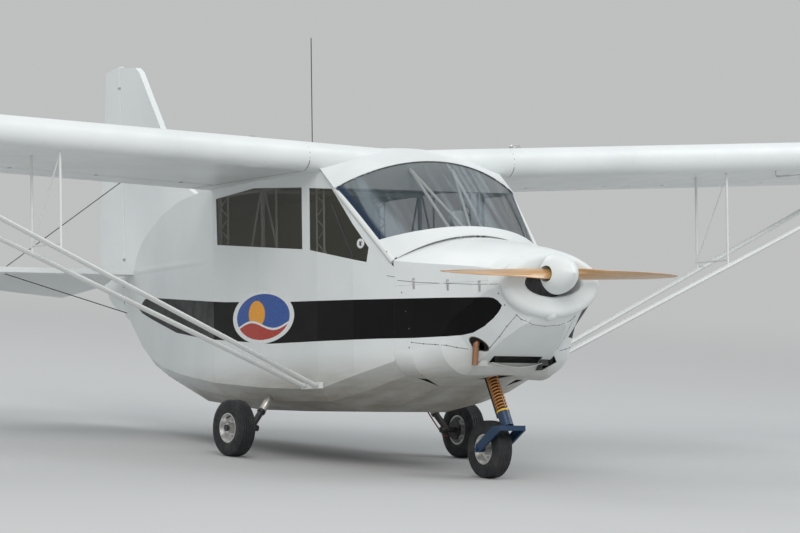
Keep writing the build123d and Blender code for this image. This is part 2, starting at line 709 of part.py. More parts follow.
def build_wing():
    tip_x = HALF_SPAN - WING_TIP_LENGTH
    main = loft([airfoil(WING_ROOT_X), airfoil(tip_x)], ruled=True)
    tip = loft([airfoil(tip_x), airfoil(HALF_SPAN, TIP_SCALE, TIP_THICKNESS)], ruled=True)
    wing = (main + tip).solid()
    slope = math.tan(math.radians(DIHEDRAL))
    spans = {"flap": (FLAP_INNER_X, FLAP_OUTER_X), "aileron": (AILERON_INNER_X, AILERON_OUTER_X)}
    surfaces = {name: control_surface(wing, *span) for name, span in spans.items()}
    wing -= control_block(FLAP_INNER_X, AILERON_OUTER_X, CONTROL_GAP)
    for name, (inner_x, outer_x) in spans.items():
        for hollow in control_hollows(inner_x, outer_x):
            surfaces[name] -= hollow
        for share in CONTROL_HINGES:
            centre = control_axis(inner_x + share * (outer_x - inner_x))
            anchor = (centre[0], control_front() - CONTROL_GAP - 2, centre[2])
            lug, notch, pin = hinge(centre, (1, 0, slope), anchor, CONTROL_NOSE + 6)
            wing += lug
            surfaces[name] = surfaces[name] - notch + pin
    wing -= loft([airfoil_core(WING_ROOT_X + RIB, SPAR_SHARE), airfoil_core(tip_x - RIB, SPAR_SHARE)], ruled=True)
    tip_end = airfoil_core(HALF_SPAN - RIB, SPAR_SHARE, TIP_SCALE, TIP_THICKNESS)
    wing -= loft([airfoil_core(tip_x + RIB, SPAR_SHARE), tip_end], ruled=True)
    pieces = {"wing": wing, "flap": surfaces["flap"], "aileron": surfaces["aileron"]}
    for name, piece in pieces.items():
        save(f"{name}_left", piece)
        save(f"{name}_right", mirror_x(piece))
    hollow_x = WING_ROOT_X - RIB
    hollow = loft([airfoil_core(x, 0.97) for x in (-hollow_x, 0, hollow_x)], ruled=True)
    save("wing_centre", wing_centre() - hollow)
    save("hood", hood_body() - hood(COWL_SKIN))


def wing_centre():
    """The middle of the wing, over the cabin."""
    return loft([airfoil(-WING_ROOT_X), airfoil(0), airfoil(WING_ROOT_X)], ruled=True)


def hood_section(corner, middle, inset, drop):
    """A segment under an arc; its straight lower edge can drop below the arc's ends."""
    x, y, z = corner
    mid_y, mid_z = middle
    down = Vector(0, y - mid_y, z - mid_z).normalized()
    arc = ThreePointArc((-x + inset, y, z), (0, mid_y + inset * down.Y, mid_z + inset * down.Z), (x - inset, y, z))
    if drop == 0:
        return Face(Wire([arc.edge(), Line(arc @ 1, arc @ 0).edge()]))
    low_right = arc @ 1 + down * drop
    low_left = arc @ 0 + down * drop
    lines = [Line(arc @ 1, low_right), Line(low_right, low_left), Line(low_left, arc @ 0)]
    return Face(Wire([arc.edge()] + [line.edge() for line in lines]))


def hood(inset=0.0):
    """The fairing that carries the line of the windscreen up into the wing."""
    x, y, z, mid_y, mid_z = SCREEN_HEAD
    drop = 10 * inset
    front = hood_section((x + 10, y + inset, z + 2), (mid_y - 4 + inset, mid_z + 6), inset, drop)
    rear = hood_section((x + 10, HOOD_REAR_Y, 1610), (HOOD_REAR_Y, 1706), inset, drop)
    return loft([front, rear], ruled=True)


def hood_body():
    return biggest(hood() - wing_centre())


def wing_underside(x, y):
    """Height of the wing's flat underside at a point in plan."""
    turn = math.radians(INCIDENCE)
    along = (y - WING_LE_Y) / math.cos(turn)
    slope_from = 0.09 * CHORD
    fall = -0.046 * CHORD + (along - slope_from) / (0.91 * CHORD) * 0.040 * CHORD
    rise = abs(x) * math.tan(math.radians(DIHEDRAL))
    return WING_LE_Z + rise + fall * math.cos(turn) - along * math.sin(turn)


def strut_ends(top_y, root_y):
    root = (STRUT_ROOT[0], root_y, STRUT_ROOT[2])
    top = (STRUT_TOP_X, top_y, wing_underside(STRUT_TOP_X, top_y) - STRUT_THICKNESS / 2)
    return root, top


def along(start, end, x):
    """The point of a straight line at a given x."""
    share = (x - start[0]) / (end[0] - start[0])
    return tuple(a + share * (b - a) for a, b in zip(start, end))


def build_struts():
    front = strut_ends(FRONT_STRUT_TOP_Y, STRUT_ROOT[1])
    rear = strut_ends(REAR_STRUT_TOP_Y, STRUT_ROOT[1] + STRUT_ROOT_SPREAD)
    front_rod = streamlined_rod(*front, STRUT_CHORD, STRUT_THICKNESS)
    rear_rod = streamlined_rod(*rear, STRUT_CHORD, STRUT_THICKNESS)
    fittings = []
    for start, end in (front, rear):
        top = end
        lug = box_between((top[0] - 44, top[1] - 14, top[2] - 14), (top[0] + 30, top[1] + 14, top[2] + 22))
        fittings.append(lug)
    underside = loft([airfoil(WING_ROOT_X), airfoil(HALF_SPAN - WING_TIP_LENGTH)], ruled=True)
    front_full = front_rod + fittings[0] - underside
    rear_full = rear_rod + fittings[1] - underside

    jury_low = [along(*front, JURY_X), along(*rear, JURY_X)]
    jury_high = []
    for _, y, z in jury_low:
        jury_high.append((JURY_X, y, wing_underside(JURY_X, y)))
    clear = STRUT_THICKNESS / 2
    uprights = []
    for low, high in zip(jury_low, jury_high):
        foot = (low[0], low[1], low[2] + clear - 2)
        uprights.append(rod(foot, high, JURY_RADIUS))
    bar_z = max(p[2] for p in jury_low) + 40
    bar = rod((JURY_X, jury_low[0][1], bar_z), (JURY_X, jury_low[1][1], bar_z), JURY_RADIUS * 0.8)
    brace = rod(
        (JURY_X, jury_high[0][1], jury_high[0][2] - 20),
        (JURY_X, jury_low[1][1], bar_z),
        JURY_RADIUS * 0.7,
    )
    jury = (uprights[0] + uprights[1] + bar + brace) - front_rod - rear_rod - underside
    root_y = STRUT_ROOT[1]
    root_z = STRUT_ROOT[2]
    low = (STRUT_ROOT[0] - 40, root_y - 34, root_z - 19)
    high = (STRUT_ROOT[0] - 7, root_y + STRUT_ROOT_SPREAD + 34, root_z + 19)
    root = box_between(low, high)
    save("strut_roots", root, mirror_x(root))
    pieces = {"strut_front": front_full, "strut_rear": rear_full, "jury_strut": jury}
    for name, piece in pieces.items():
        save(f"{name}_left", piece)
        save(f"{name}_right", mirror_x(piece))


def hinge_y(z):
    """The rudder post leans, so its y depends on the height."""
    share = (z - HINGE_BOTTOM[1]) / (HINGE_TOP[1] - HINGE_BOTTOM[1])
    return HINGE_BOTTOM[0] + share * (HINGE_TOP[0] - HINGE_BOTTOM[0])


def rudder_hinge(z):
    """A rudder hinge at one height, on the fin or on the stern post."""
    y = hinge_y(z)
    lean = (HINGE_TOP[0] - HINGE_BOTTOM[0]) / (HINGE_TOP[1] - HINGE_BOTTOM[1])
    reach = RUDDER_POST_RADIUS + MOVING_GAP + 12
    return hinge((0, y, z), (0, lean, 1), (0, y - reach, z + reach * lean), RUDDER_POST_RADIUS + 6)


def build_tail():
    post_bottom = (0, HINGE_BOTTOM[0], HINGE_BOTTOM[1])
    post_top = (0, HINGE_TOP[0], HINGE_TOP[1])
    rudder_outline = [HINGE_TOP] + RUDDER_OUTLINE + [HINGE_BOTTOM]
    rudder = side_prism(rudder_outline, -RUDDER_THICKNESS / 2, RUDDER_THICKNESS / 2)
    rudder += rod(post_bottom, post_top, RUDDER_POST_RADIUS)
    half_room = RUDDER_THICKNESS / 2 - TAIL_SKIN
    hollow = grown_prism(rudder_outline, -TAIL_SKIN, -half_room, half_room)
    rudder -= hollow - rod(post_bottom, post_top, RUDDER_POST_RADIUS + 2 * MOVING_GAP)

    gap = RUDDER_POST_RADIUS + MOVING_GAP
    foot = TAILPLANE_Z + TAILPLANE_THICKNESS / 2
    notch_y, _, notch_high = STERN_NOTCH
    fin_outline = [(HINGE_TOP[0] - gap, 2436)] + FIN_OUTLINE + [(1560, 1300), (2100, 1150), (TAILPLANE_LE_Y, foot)]
    fin_outline += [(notch_y, foot), (notch_y, notch_high), (hinge_y(notch_high) - gap, notch_high)]
    fin = side_prism(fin_outline, -FIN_THICKNESS / 2, FIN_THICKNESS / 2) - fuselage_loft(0)
    half_room = FIN_THICKNESS / 2 - TAIL_SKIN
    fin -= grown_prism(fin_outline, -TAIL_SKIN, -half_room, half_room)
    fin = fin.solids().sort_by(Axis.Z)[-1]
    for z in STERN_HINGES + FIN_HINGES:
        lug, notch, pin = rudder_hinge(z)
        rudder = rudder - notch + pin
        if z in FIN_HINGES:
            fin += lug
    save("rudder", rudder)
    save("fin", fin)

    half = TAILPLANE_HALF_SPAN
    front = TAILPLANE_LE_Y
    back = TAILPLANE_TE_Y
    plan = [(-half, front + 60), (-half + 90, front), (half - 90, front), (half, front + 60), (half, back), (-half, back)]
    plane_face = wire_face([(x, y, TAILPLANE_Z - TAILPLANE_THICKNESS / 2) for x, y in plan])
    tailplane = extrude(plane_face, amount=TAILPLANE_THICKNESS, dir=(0, 0, 1))
    room_face = offset(plane_face, amount=-TAIL_SKIN, kind=Kind.INTERSECTION).faces()[0].translate((0, 0, TAIL_SKIN))
    tailplane -= extrude(room_face, amount=TAILPLANE_THICKNESS - 2 * TAIL_SKIN, dir=(0, 0, 1))

    axis_y = ELEVATOR_AXIS_Y
    z = TAILPLANE_Z
    turn = math.radians(ELEVATOR_DROOP)
    up = Vector(0, math.sin(turn), math.cos(turn))
    aft = Vector(0, math.cos(turn), -math.sin(turn))
    plan = [
        (ELEVATOR_INNER_X, 0), (ELEVATOR_INNER_X, ELEVATOR_INNER_CHORD),
        (ELEVATOR_CUTBACK_X, ELEVATOR_CHORD), (half, ELEVATOR_TIP_CHORD), (half, 0),
    ]
    base = Vector(0, axis_y, z) - up * ELEVATOR_SPAR_RADIUS
    face = wire_face([tuple(base + aft * chord + Vector(x, 0, 0)) for x, chord in plan])
    panel = extrude(face, amount=2 * ELEVATOR_SPAR_RADIUS, dir=tuple(up))
    wall = TAIL_SKIN
    room_front = ELEVATOR_SPAR_RADIUS + 2 * MOVING_GAP
    room_plan = [
        (ELEVATOR_INNER_X + wall, room_front), (ELEVATOR_INNER_X + wall, ELEVATOR_INNER_CHORD - wall),
        (ELEVATOR_CUTBACK_X, ELEVATOR_CHORD - 2 * wall), (half - wall, ELEVATOR_TIP_CHORD - wall), (half - wall, room_front),
    ]
    room_base = base + up * wall
    room_face = wire_face([tuple(room_base + aft * chord + Vector(x, 0, 0)) for x, chord in room_plan])
    panel -= extrude(room_face, amount=2 * (ELEVATOR_SPAR_RADIUS - wall), dir=tuple(up))
    inner = ELEVATOR_INNER_X
    plug_end = inner + TORQUE_PLUG_LENGTH
    left_half = panel + rod((inner, axis_y, z), (half, axis_y, z), ELEVATOR_SPAR_RADIUS)
    left_half -= rod((inner - 1, axis_y, z), (plug_end, axis_y, z), TORQUE_PLUG_RADIUS + TOUCH_GAP)
    for station in ELEVATOR_HINGES:
        lug, notch, pin = hinge((station, axis_y, z), (1, 0, 0), (station, back - 2, z), ELEVATOR_SPAR_RADIUS + 6)
        tailplane = tailplane + lug + mirror_x(lug)
        left_half = left_half - notch + pin
    torque_tube = rod((-inner, axis_y, z), (inner, axis_y, z), ELEVATOR_SPAR_RADIUS)
    torque_tube += rod((-plug_end, axis_y, z), (plug_end, axis_y, z), TORQUE_PLUG_RADIUS)
    save("tailplane", tailplane)
    save("elevator", left_half, mirror_x(left_half), torque_tube)


def build_propeller():
    """Two twisted blades with round tips, faired into a spinner."""
    sections = []
    # distance from the axis, chord, thickness, blade angle
    for radius, chord, thick, angle in ((60, 70, 40, 50), (250, 105, 24, 32), (520, 112, 14, 21), (780, 82, 9, 15)):
        plane = Plane(origin=(radius, PROP_PLANE_Y, PROP_AXIS_Z), z_dir=(1, 0, 0), x_dir=(0, 0, 1))
        sections.append(plane * Rot(0, 0, 90 - angle) * Ellipse(chord / 2, thick / 2))
    tip = Plane(origin=(PROP_RADIUS, PROP_PLANE_Y, PROP_AXIS_Z), z_dir=(1, 0, 0), x_dir=(0, 0, 1))
    sections.append(tip * Rot(0, 0, 77) * Ellipse(20, 3))
    blade = loft([section.face() for section in sections])
    other = blade.rotate(Axis((0, PROP_PLANE_Y, PROP_AXIS_Z), (0, 1, 0)), 180)
    hub_back = SPINNER_BASE_Y - SPINNER_WALL
    hub = rod((0, PROP_PLANE_Y - 35, PROP_AXIS_Z), (0, hub_back, PROP_AXIS_Z), 70)
    shaft = rod((0, PROP_PLANE_Y + 30, PROP_AXIS_Z), (0, PROP_SHAFT_END_Y, PROP_AXIS_Z), PROP_SHAFT_RADIUS)
    save("propeller", blade + other + hub + shaft)

    base = SPINNER_BASE_Y
    length = base - SPINNER_TIP_Y
    outer_arc = ThreePointArc(
        (0, base - length, PROP_AXIS_Z),
        (0.66 * SPINNER_RADIUS, base - 0.62 * length, PROP_AXIS_Z),
        (SPINNER_RADIUS, base, PROP_AXIS_Z),
    )
    down = Line((SPINNER_RADIUS, base, PROP_AXIS_Z), (0, base, PROP_AXIS_Z))
    axis_line = Line((0, base, PROP_AXIS_Z), (0, base - length, PROP_AXIS_Z))
    face = Face(Wire([outer_arc.edge(), down.edge(), axis_line.edge()]))
    axis = Axis((0, base, PROP_AXIS_Z), (0, 1, 0))
    outer = revolve(face, axis, 360)
    inner = scale(outer, by=1 - SPINNER_WALL / SPINNER_RADIUS)
    inner = inner.translate((0, base * SPINNER_WALL / SPINNER_RADIUS, PROP_AXIS_Z * SPINNER_WALL / SPINNER_RADIUS))
    plate = rod((0, base - SPINNER_WALL, PROP_AXIS_Z), (0, base, PROP_AXIS_Z), SPINNER_RADIUS)
    plate -= rod((0, base - 9, PROP_AXIS_Z), (0, base + 9, PROP_AXIS_Z), PROP_SHAFT_RADIUS + RUNNING_GAP)
    hole_start = (-2 * SPINNER_RADIUS, PROP_PLANE_Y, PROP_AXIS_Z)
    holes = rod(hole_start, (2 * SPINNER_RADIUS, PROP_PLANE_Y, PROP_AXIS_Z), SPINNER_HOLE_RADIUS)
    holes -= box_between((-400, SPINNER_BASE_Y - SPINNER_WALL, 0), (400, SPINNER_BASE_Y + 100, 2000))
    save("spinner", (outer - inner + plate) - holes - hub)


def wheel(centre_x, centre_y, centre_z, name):
    """A tyre and its rim, on an axle along X."""
    def ring(profile):
        points = [(centre_x + x, centre_y, centre_z + r) for x, r in profile]
        face = wire_face(points)
        return revolve(face, Axis((centre_x, centre_y, centre_z), (1, 0, 0)), 360)

    half = TYRE_WIDTH / 2
    outer = TYRE_RADIUS
    tread = half - 20
    tyre_profile = [
        (-half + 7, RIM_RADIUS), (-half, outer - 46), (-tread, outer),
        (tread, outer), (half, outer - 46), (half - 7, RIM_RADIUS),
    ]
    save(f"tyre_{name}", ring(tyre_profile))
    rim_profile = [
        (-half + 8, RIM_RADIUS - 8), (-half + 8, RIM_RADIUS), (half - 8, RIM_RADIUS), (half - 8, RIM_RADIUS - 8),
        (10, RIM_RADIUS - 22), (10, 34), (HUB_HALF_LENGTH, 30), (HUB_HALF_LENGTH, WHEEL_BORE_RADIUS),
        (-HUB_HALF_LENGTH, WHEEL_BORE_RADIUS), (-HUB_HALF_LENGTH, 30), (-10, 34), (-10, RIM_RADIUS - 22),
    ]
    save(f"rim_{name}", ring(rim_profile))


def build_main_gear():
    axle_radius = WHEEL_BORE_RADIUS - RUNNING_GAP
    inner_face = HALF_TRACK - HUB_HALF_LENGTH
    outer_face = HALF_TRACK + HUB_HALF_LENGTH
    leg = rod(LEG_TOP, (LEG_FOOT_X, 0, 0), LEG_RADIUS)
    axle = rod((LEG_FOOT_X - 24, 0, 0), (inner_face - TOUCH_GAP, 0, 0), 17)
    pin = rod((inner_face - 20, 0, 0), (outer_face + 14, 0, 0), axle_radius)
    nut = rod((outer_face + TOUCH_GAP, 0, 0), (outer_face + 14, 0, 0), 20)
    brake = rod((inner_face - 24, 0, 0), (inner_face - 14, 0, 0), 62)
    ball = Sphere(26).translate(LEG_TOP)
    gear = biggest((leg + axle + pin + nut + brake + ball) - fuselage_loft(0))
    save("gear_left", gear)
    save("gear_right", mirror_x(gear))
    for side, name in ((1, "left"), (-1, "right")):
        wheel(side * HALF_TRACK, 0, 0, name)


def leg_point(distance, offset_aft=0.0):
    """A point on the nose leg, measured from its foot up along it."""
    top = Vector(0, *NOSE_LEG_TOP)
    foot = Vector(0, *NOSE_LEG_FOOT)
    direction = (top - foot).normalized()
    aft = Vector(0, direction.Z, -direction.Y)
    point = foot + direction * distance + aft * offset_aft
    return (point.X, point.Y, point.Z)


def engine_block():
    """The engine's plain block, bored for the propeller shaft."""
    block = box_between(ENGINE_LOW, ENGINE_HIGH)
    front_y = ENGINE_LOW[1]
    bore_end = (0, PROP_SHAFT_END_Y + MOVING_GAP, PROP_AXIS_Z)
    return block - rod((0, front_y - 10, PROP_AXIS_Z), bore_end, PROP_SHAFT_RADIUS + RUNNING_GAP)


def engine_mount():
    """The welded tubes between the firewall, the engine and the head of the nose leg."""
    front_y = FUSELAGE_FRAMES[0][0] - FIREWALL_THICKNESS
    mount = box_between((-40, NOSE_LEG_TOP[0] - 16, NOSE_LEG_TOP[1] + 4), (40, NOSE_LEG_TOP[0] + 26, ENGINE_LOW[2]))
    for wall_x, wall_z, x, y, z in MOUNT_TUBES:
        for side in (1, -1):
            tube = rod((side * wall_x, front_y + 20, wall_z), (side * x, y, z), MOUNT_TUBE_RADIUS)
            mount += tube
    behind = box_between((-900, front_y, 0), (900, front_y + 100, 1400))
    return mount - behind - engine_block()


def build_nose_gear():
    top = Vector(0, *NOSE_LEG_TOP)
    foot = Vector(0, *NOSE_LEG_FOOT)
    length = (top - foot).length
    sleeve_top = 105.0
    spring_low = sleeve_top + 14.0
    spring_high = length - 48.0
    leg = rod(leg_point(20), leg_point(length), NOSE_TUBE_RADIUS)
    collar = rod(leg_point(sleeve_top + 1.0), leg_point(spring_low), SPRING_RADIUS + 6)
    cap = rod(leg_point(spring_high), leg_point(length), SPRING_RADIUS + 6)
    guide = rod(leg_point(sleeve_top - 2, 56), leg_point(length - 8, 56), 12)
    arm_low = rod(leg_point(sleeve_top + 8, 0), leg_point(sleeve_top + 8, 56), 6)
    arm_high = rod(leg_point(length - 24, 0), leg_point(length - 24, 56), 9)
    whole = leg + collar + cap + guide + arm_low + arm_high
    save("nose_leg", whole)
    save("engine_mount", engine_mount() - whole)

    pitch = (spring_high - spring_low - 2 * SPRING_WIRE) / SPRING_TURNS
    direction = (top - foot).normalized()
    start = Vector(*leg_point(spring_low + SPRING_WIRE))
    plane = Plane(origin=start, z_dir=direction)
    helix = Helix(pitch=pitch, height=pitch * SPRING_TURNS, radius=SPRING_RADIUS)
    profile = Plane(origin=helix @ 0, z_dir=helix % 0) * RegularPolygon(SPRING_WIRE, 6)
    coil = sweep(profile, path=helix)
    save("nose_spring", coil.moved(plane.location))

    sleeve_bore = NOSE_TUBE_RADIUS + RUNNING_GAP
    sleeve = rod(leg_point(8), leg_point(sleeve_top), 38)
    axle_y = -WHEELBASE
    axle_z = -NOSE_WHEEL_DROP
    plate = box_between((-FORK_HALF_WIDTH - FORK_ARM, -1748, -66), (FORK_HALF_WIDTH + FORK_ARM, -1674, -36))
    arm_outline = [
        (-1748, -66), (-1748, -36), (-1674, -36), (axle_y + 14, axle_z + 26),
        (axle_y + 22, axle_z - 18), (axle_y - 22, axle_z - 18),
    ]
    arm = side_prism(arm_outline, FORK_HALF_WIDTH, FORK_HALF_WIDTH + FORK_ARM)
    other_arm = side_prism(arm_outline, -FORK_HALF_WIDTH - FORK_ARM, -FORK_HALF_WIDTH)
    axle_end = FORK_HALF_WIDTH + FORK_ARM + 8
    axle = rod((-axle_end, axle_y, axle_z), (axle_end, axle_y, axle_z), WHEEL_BORE_RADIUS - RUNNING_GAP)
    fork = sleeve + plate + arm + other_arm + axle
    for side in (1, -1):
        spacer_inner = side * (HUB_HALF_LENGTH + TOUCH_GAP)
        fork += rod((spacer_inner, axle_y, axle_z), (side * FORK_HALF_WIDTH, axle_y, axle_z), 18)
    bore_again = rod(leg_point(19), leg_point(sleeve_top + 5), sleeve_bore)
    save("nose_fork", fork - bore_again)
    wheel(0, axle_y, axle_z, "nose")


def lattice(first_y, last_y, high):
    """A narrow upright column of two thin tubes with a zigzag between them, as (y, z) ends and a radius."""
    low = FRAME_SILL_Z
    steps = 6
    rows = [(first_y, low, first_y, high, 6), (last_y, low, last_y, high, 6)]
    rise = (high - low) / steps
    for step in range(steps):
        ends = (first_y, last_y) if step % 2 == 0 else (last_y, first_y)
        rows.append((ends[0], low + step * rise + 8, ends[1], low + (step + 1) * rise - 8, 4))
    return rows


def build_cabin():
    """Seats, floor, panel, tube frame and controls seen through the windows."""
    room = fuselage_loft(SKIN, 800)
    floor = box_between((-700, FUSELAGE_FRAMES[0][0] + TOUCH_GAP, 262), (700, 560, 268)) & room
    save("cabin_floor", floor)
    bases = []
    seat_names = (("seat_right", -1), ("seat_left", 1))
    for name, side in seat_names:
        low_x, high_x = sorted((side * 30, side * 500))
        cushion = box_between((low_x, -330, 450.3), (high_x, 150, 520))
        back = side_prism([(166, 450.3), (226, 450.3), (400, 1080), (346, 1088)], low_x, high_x)
        base = box_between((low_x + 40, -300, 268), (high_x - 40, 240, 450))
        base -= box_between((low_x + 40 + SHEET, -300 + SHEET, 268), (high_x - 40 - SHEET, 240 - SHEET, 450 - SHEET))
        base += side_prism([(226.3, 440), (240, 440), (414, 1076), (400.3, 1080)], low_x + 20, high_x - 20)
        save(name, cushion, back)
        bases.append(base)
    save("seat_bases", *bases)
    panel = side_prism([(-1188, 780), (-1176, 780), (-1226, 1060), (-1238, 1060)], -640, 640) & room
    right_pillar, left_pillar = pillar_tubes()
    panel = panel - pillar_wedge() - right_pillar - left_pillar
    save("instrument_panel", panel)
    compass = rod((57, -1095, 1242), (57, -1140, 1242), 55)
    stalk = rod((57, -1120, 1200), (57, -1214, 960), 9)
    save("compass", biggest(compass + stalk - panel))

    sides = []
    for side in (1, -1):
        x = side * FRAME_X
        column = FRAME_COLUMN_LEFT if side == 1 else FRAME_COLUMN_RIGHT
        rows = FRAME_TUBES + lattice(*column) + lattice(*FRAME_COLUMN_REAR)
        tubes = [rod((x, y0, z0), (x, y1, z1), radius) for y0, z0, y1, z1, radius in rows]
        frame = tubes[0]
        for tube in tubes[1:]:
            frame += tube
        sides.append(frame)
    whole = sides[0] + sides[1]
    for y, z in FRAME_CROSS:
        whole += rod((-FRAME_X, y, z), (FRAME_X, y, z), FRAME_CROSS_RADIUS)
    save("cabin_frame", whole)
    sticks = rod((0, -560, 270.3), (0, -620, 560), 10) + Sphere(10).translate((0, -620, 560))
    sticks += rod((0, -620, 560), (0, -560, 700), 10) + rod((0, -575, 665), (0, -540, 747), 17)
    save("control_stick", sticks)
    cowl = cowl_loft(COWL_SECTIONS, 0)
    braces = []
    for side in (1, -1):
        for foot in BRACE_FEET:
            start = (side * BRACE_HEAD[0], BRACE_HEAD[1], BRACE_HEAD[2])
            braces.append(rod(start, (side * foot[0], foot[1], foot[2]), 10))
    brace_set = braces[0] + braces[1] + braces[2] + braces[3]
    save("screen_braces", brace_set - cowl - hood_body())


def build_small_parts():
    save("engine_block", engine_block())
    antenna = rod((-500, -365, 1690), (-500, -365, 2390), 3)
    save("antenna", antenna - wing_centre())
    start, bend, tip = EXHAUST_PATH
    pipe = rod(start, bend, EXHAUST_RADIUS) + Sphere(EXHAUST_RADIUS).translate(bend)
    pipe += rod(bend, tip, EXHAUST_RADIUS)
    pipe -= rod(bend, Vector(*bend) + (Vector(*tip) - Vector(*bend)) * 1.1, EXHAUST_RADIUS - 2)
    save("exhaust_pipe", pipe - engine_block())
    braces = []
    for side in (1, -1):
        spot = (side * 1000, 2450, TAILPLANE_Z)
        braces.append(rod((side * 24, 2500, 1720), (spot[0], spot[1], TAILPLANE_Z + 20.5), 3))
        braces.append(rod((side * 62, 2480, 832), (spot[0], spot[1], TAILPLANE_Z - 20.5), 3))
    save("tail_braces", *braces)


build_fuselage()
build_windscreen()
build_cowling()
build_wing()
build_struts()
build_tail()
build_propeller()
build_main_gear()
build_nose_gear()
build_cabin()
build_small_parts()
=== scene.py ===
"""Looks of the high-wing two-seat ultralight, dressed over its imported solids."""

import json
from math import asin, ceil, cos, exp, pi, radians, sin, tan

import bmesh
import bpy
from mathutils import Matrix, Vector
from mathutils.bvhtree import BVHTree


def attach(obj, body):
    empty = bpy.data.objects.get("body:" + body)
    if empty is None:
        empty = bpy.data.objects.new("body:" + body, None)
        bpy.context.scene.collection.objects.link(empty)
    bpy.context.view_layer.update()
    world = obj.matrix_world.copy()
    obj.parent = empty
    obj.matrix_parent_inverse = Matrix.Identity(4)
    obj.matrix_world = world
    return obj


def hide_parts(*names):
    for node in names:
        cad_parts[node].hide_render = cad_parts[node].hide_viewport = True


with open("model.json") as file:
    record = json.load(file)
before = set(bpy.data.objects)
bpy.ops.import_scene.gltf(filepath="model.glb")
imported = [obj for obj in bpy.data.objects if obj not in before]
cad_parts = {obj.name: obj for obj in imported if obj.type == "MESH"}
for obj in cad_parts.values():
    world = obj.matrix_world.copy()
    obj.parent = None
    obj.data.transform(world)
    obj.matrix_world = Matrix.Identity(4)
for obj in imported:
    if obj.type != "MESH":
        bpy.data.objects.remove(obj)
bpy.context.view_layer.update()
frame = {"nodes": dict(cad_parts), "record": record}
nodes = frame["nodes"]

# The aircraft stands nose up. The origin of its level frame is midway between the main wheels.
ATTITUDE = radians(6.5)
BODY_SHIFT = -0.36254
TYRE_RADIUS = 0.175


def level(x, y, z):
    """A point given in the aircraft's level frame, in metres, as it stands on the ground."""
    turned_y = y * cos(ATTITUDE) + z * sin(ATTITUDE) + BODY_SHIFT
    turned_z = -y * sin(ATTITUDE) + z * cos(ATTITUDE) + TYRE_RADIUS
    return Vector((x, turned_y, turned_z))


def level_direction(x, y, z):
    return level(x, y, z) - level(0, 0, 0)


TURN = 2 * pi
ACROSS = Vector((1, 0, 0))
UPWARD = level_direction(0, 0, 1)
REARWARD = level_direction(0, 1, 0)

# Materials


def new_material(name):
    """The graph of a new material, with the material and its shader."""
    material = bpy.data.materials.new(name)
    material.use_nodes = True
    g = Graph(material.node_tree)
    g.material = material
    g.shader = g.tree.nodes["Principled BSDF"]
    return g


class Graph:
    """Short calls for building a material's nodes."""

    def __init__(self, tree):
        self.tree = tree

    def node(self, kind, **values):
        node = self.tree.nodes.new("ShaderNode" + kind)
        for key, value in values.items():
            setattr(node, key, value)
        return node

    def link(self, start, end):
        self.tree.links.new(start, end)

    def put(self, socket, value):
        """Links a socket from another, or sets its value."""
        if isinstance(value, bpy.types.NodeSocket):
            self.link(value, socket)
        else:
            socket.default_value = (*value, 1) if socket.type == "RGBA" else value

    def feed(self, node, values):
        for name, value in values.items():
            self.put(node.inputs[name], value)

    def shade(self, colour, roughness, values=None):
        """Gives the shader its colour, roughness and other values."""
        self.feed(self.shader, {"Base Color": colour, "Roughness": roughness, **(values or {})})

    def place(self):
        """The point on the surface, in the row frame, in metres."""
        return self.node("TexCoord").outputs["Object"]

    def level_place(self):
        """The point on the surface in the aircraft's level frame, in metres."""
        moved = self.node("VectorMath", operation="SUBTRACT")
        self.link(self.place(), moved.inputs[0])
        self.put(moved.inputs[1], (0, BODY_SHIFT, TYRE_RADIUS))
        turned = self.node("VectorRotate", rotation_type="X_AXIS")
        self.feed(turned, {"Vector": moved.outputs[0], "Angle": ATTITUDE})
        return turned.outputs[0]

    def split(self, vector):
        parts = self.node("SeparateXYZ")
        self.link(vector, parts.inputs[0])
        return parts.outputs[0], parts.outputs[1], parts.outputs[2]

    def math(self, operation, a, b=0.0, clamp=False):
        node = self.node("Math", operation=operation, use_clamp=clamp)
        self.put(node.inputs[0], a)
        self.put(node.inputs[1], b)
        return node.outputs[0]

    def plus(self, a, b, clamp=False):
        return self.math("ADD", a, b, clamp)

    def minus(self, a, b):
        return self.math("SUBTRACT", a, b)

    def times(self, a, b):
        return self.math("MULTIPLY", a, b)

    def over(self, a, b):
        return self.math("DIVIDE", a, b)

    def noise(self, scale, detail, rough, vector=None, stretch=None):
        vector = vector or self.place()
        if stretch:
            mapping = self.node("Mapping")
            self.feed(mapping, {"Vector": vector, "Scale": stretch})
            vector = mapping.outputs[0]
        texture = self.node("TexNoise")
        self.feed(texture, {"Vector": vector, "Scale": scale, "Detail": detail, "Roughness": rough})
        return texture.outputs["Fac"]

    def fade(self, value, low, high, start=0.0, end=1.0, curve="SMOOTHSTEP"):
        """value from low to high becomes start to end, clamped, and smoothly by default."""
        node = self.node("MapRange", interpolation_type=curve)
        self.feed(node, {"Value": value, "From Min": low, "From Max": high})
        self.feed(node, {"To Min": start, "To Max": end})
        return node.outputs["Result"]

    def mix(self, factor, first, second):
        node = self.node("Mix", data_type="RGBA")
        for k, value in ((0, factor), (6, first), (7, second)):
            self.put(node.inputs[k], value)
        return node.outputs[2]

    def bump(self, height, distance, strength, below=None):
        node = self.node("Bump")
        self.feed(node, {"Height": height, "Distance": distance, "Strength": strength})
        if below is not None:
            self.link(below, node.inputs["Normal"])
        self.link(node.outputs[0], self.shader.inputs["Normal"])
        return node.outputs[0]


GRIME = (0.36, 0.31, 0.24)


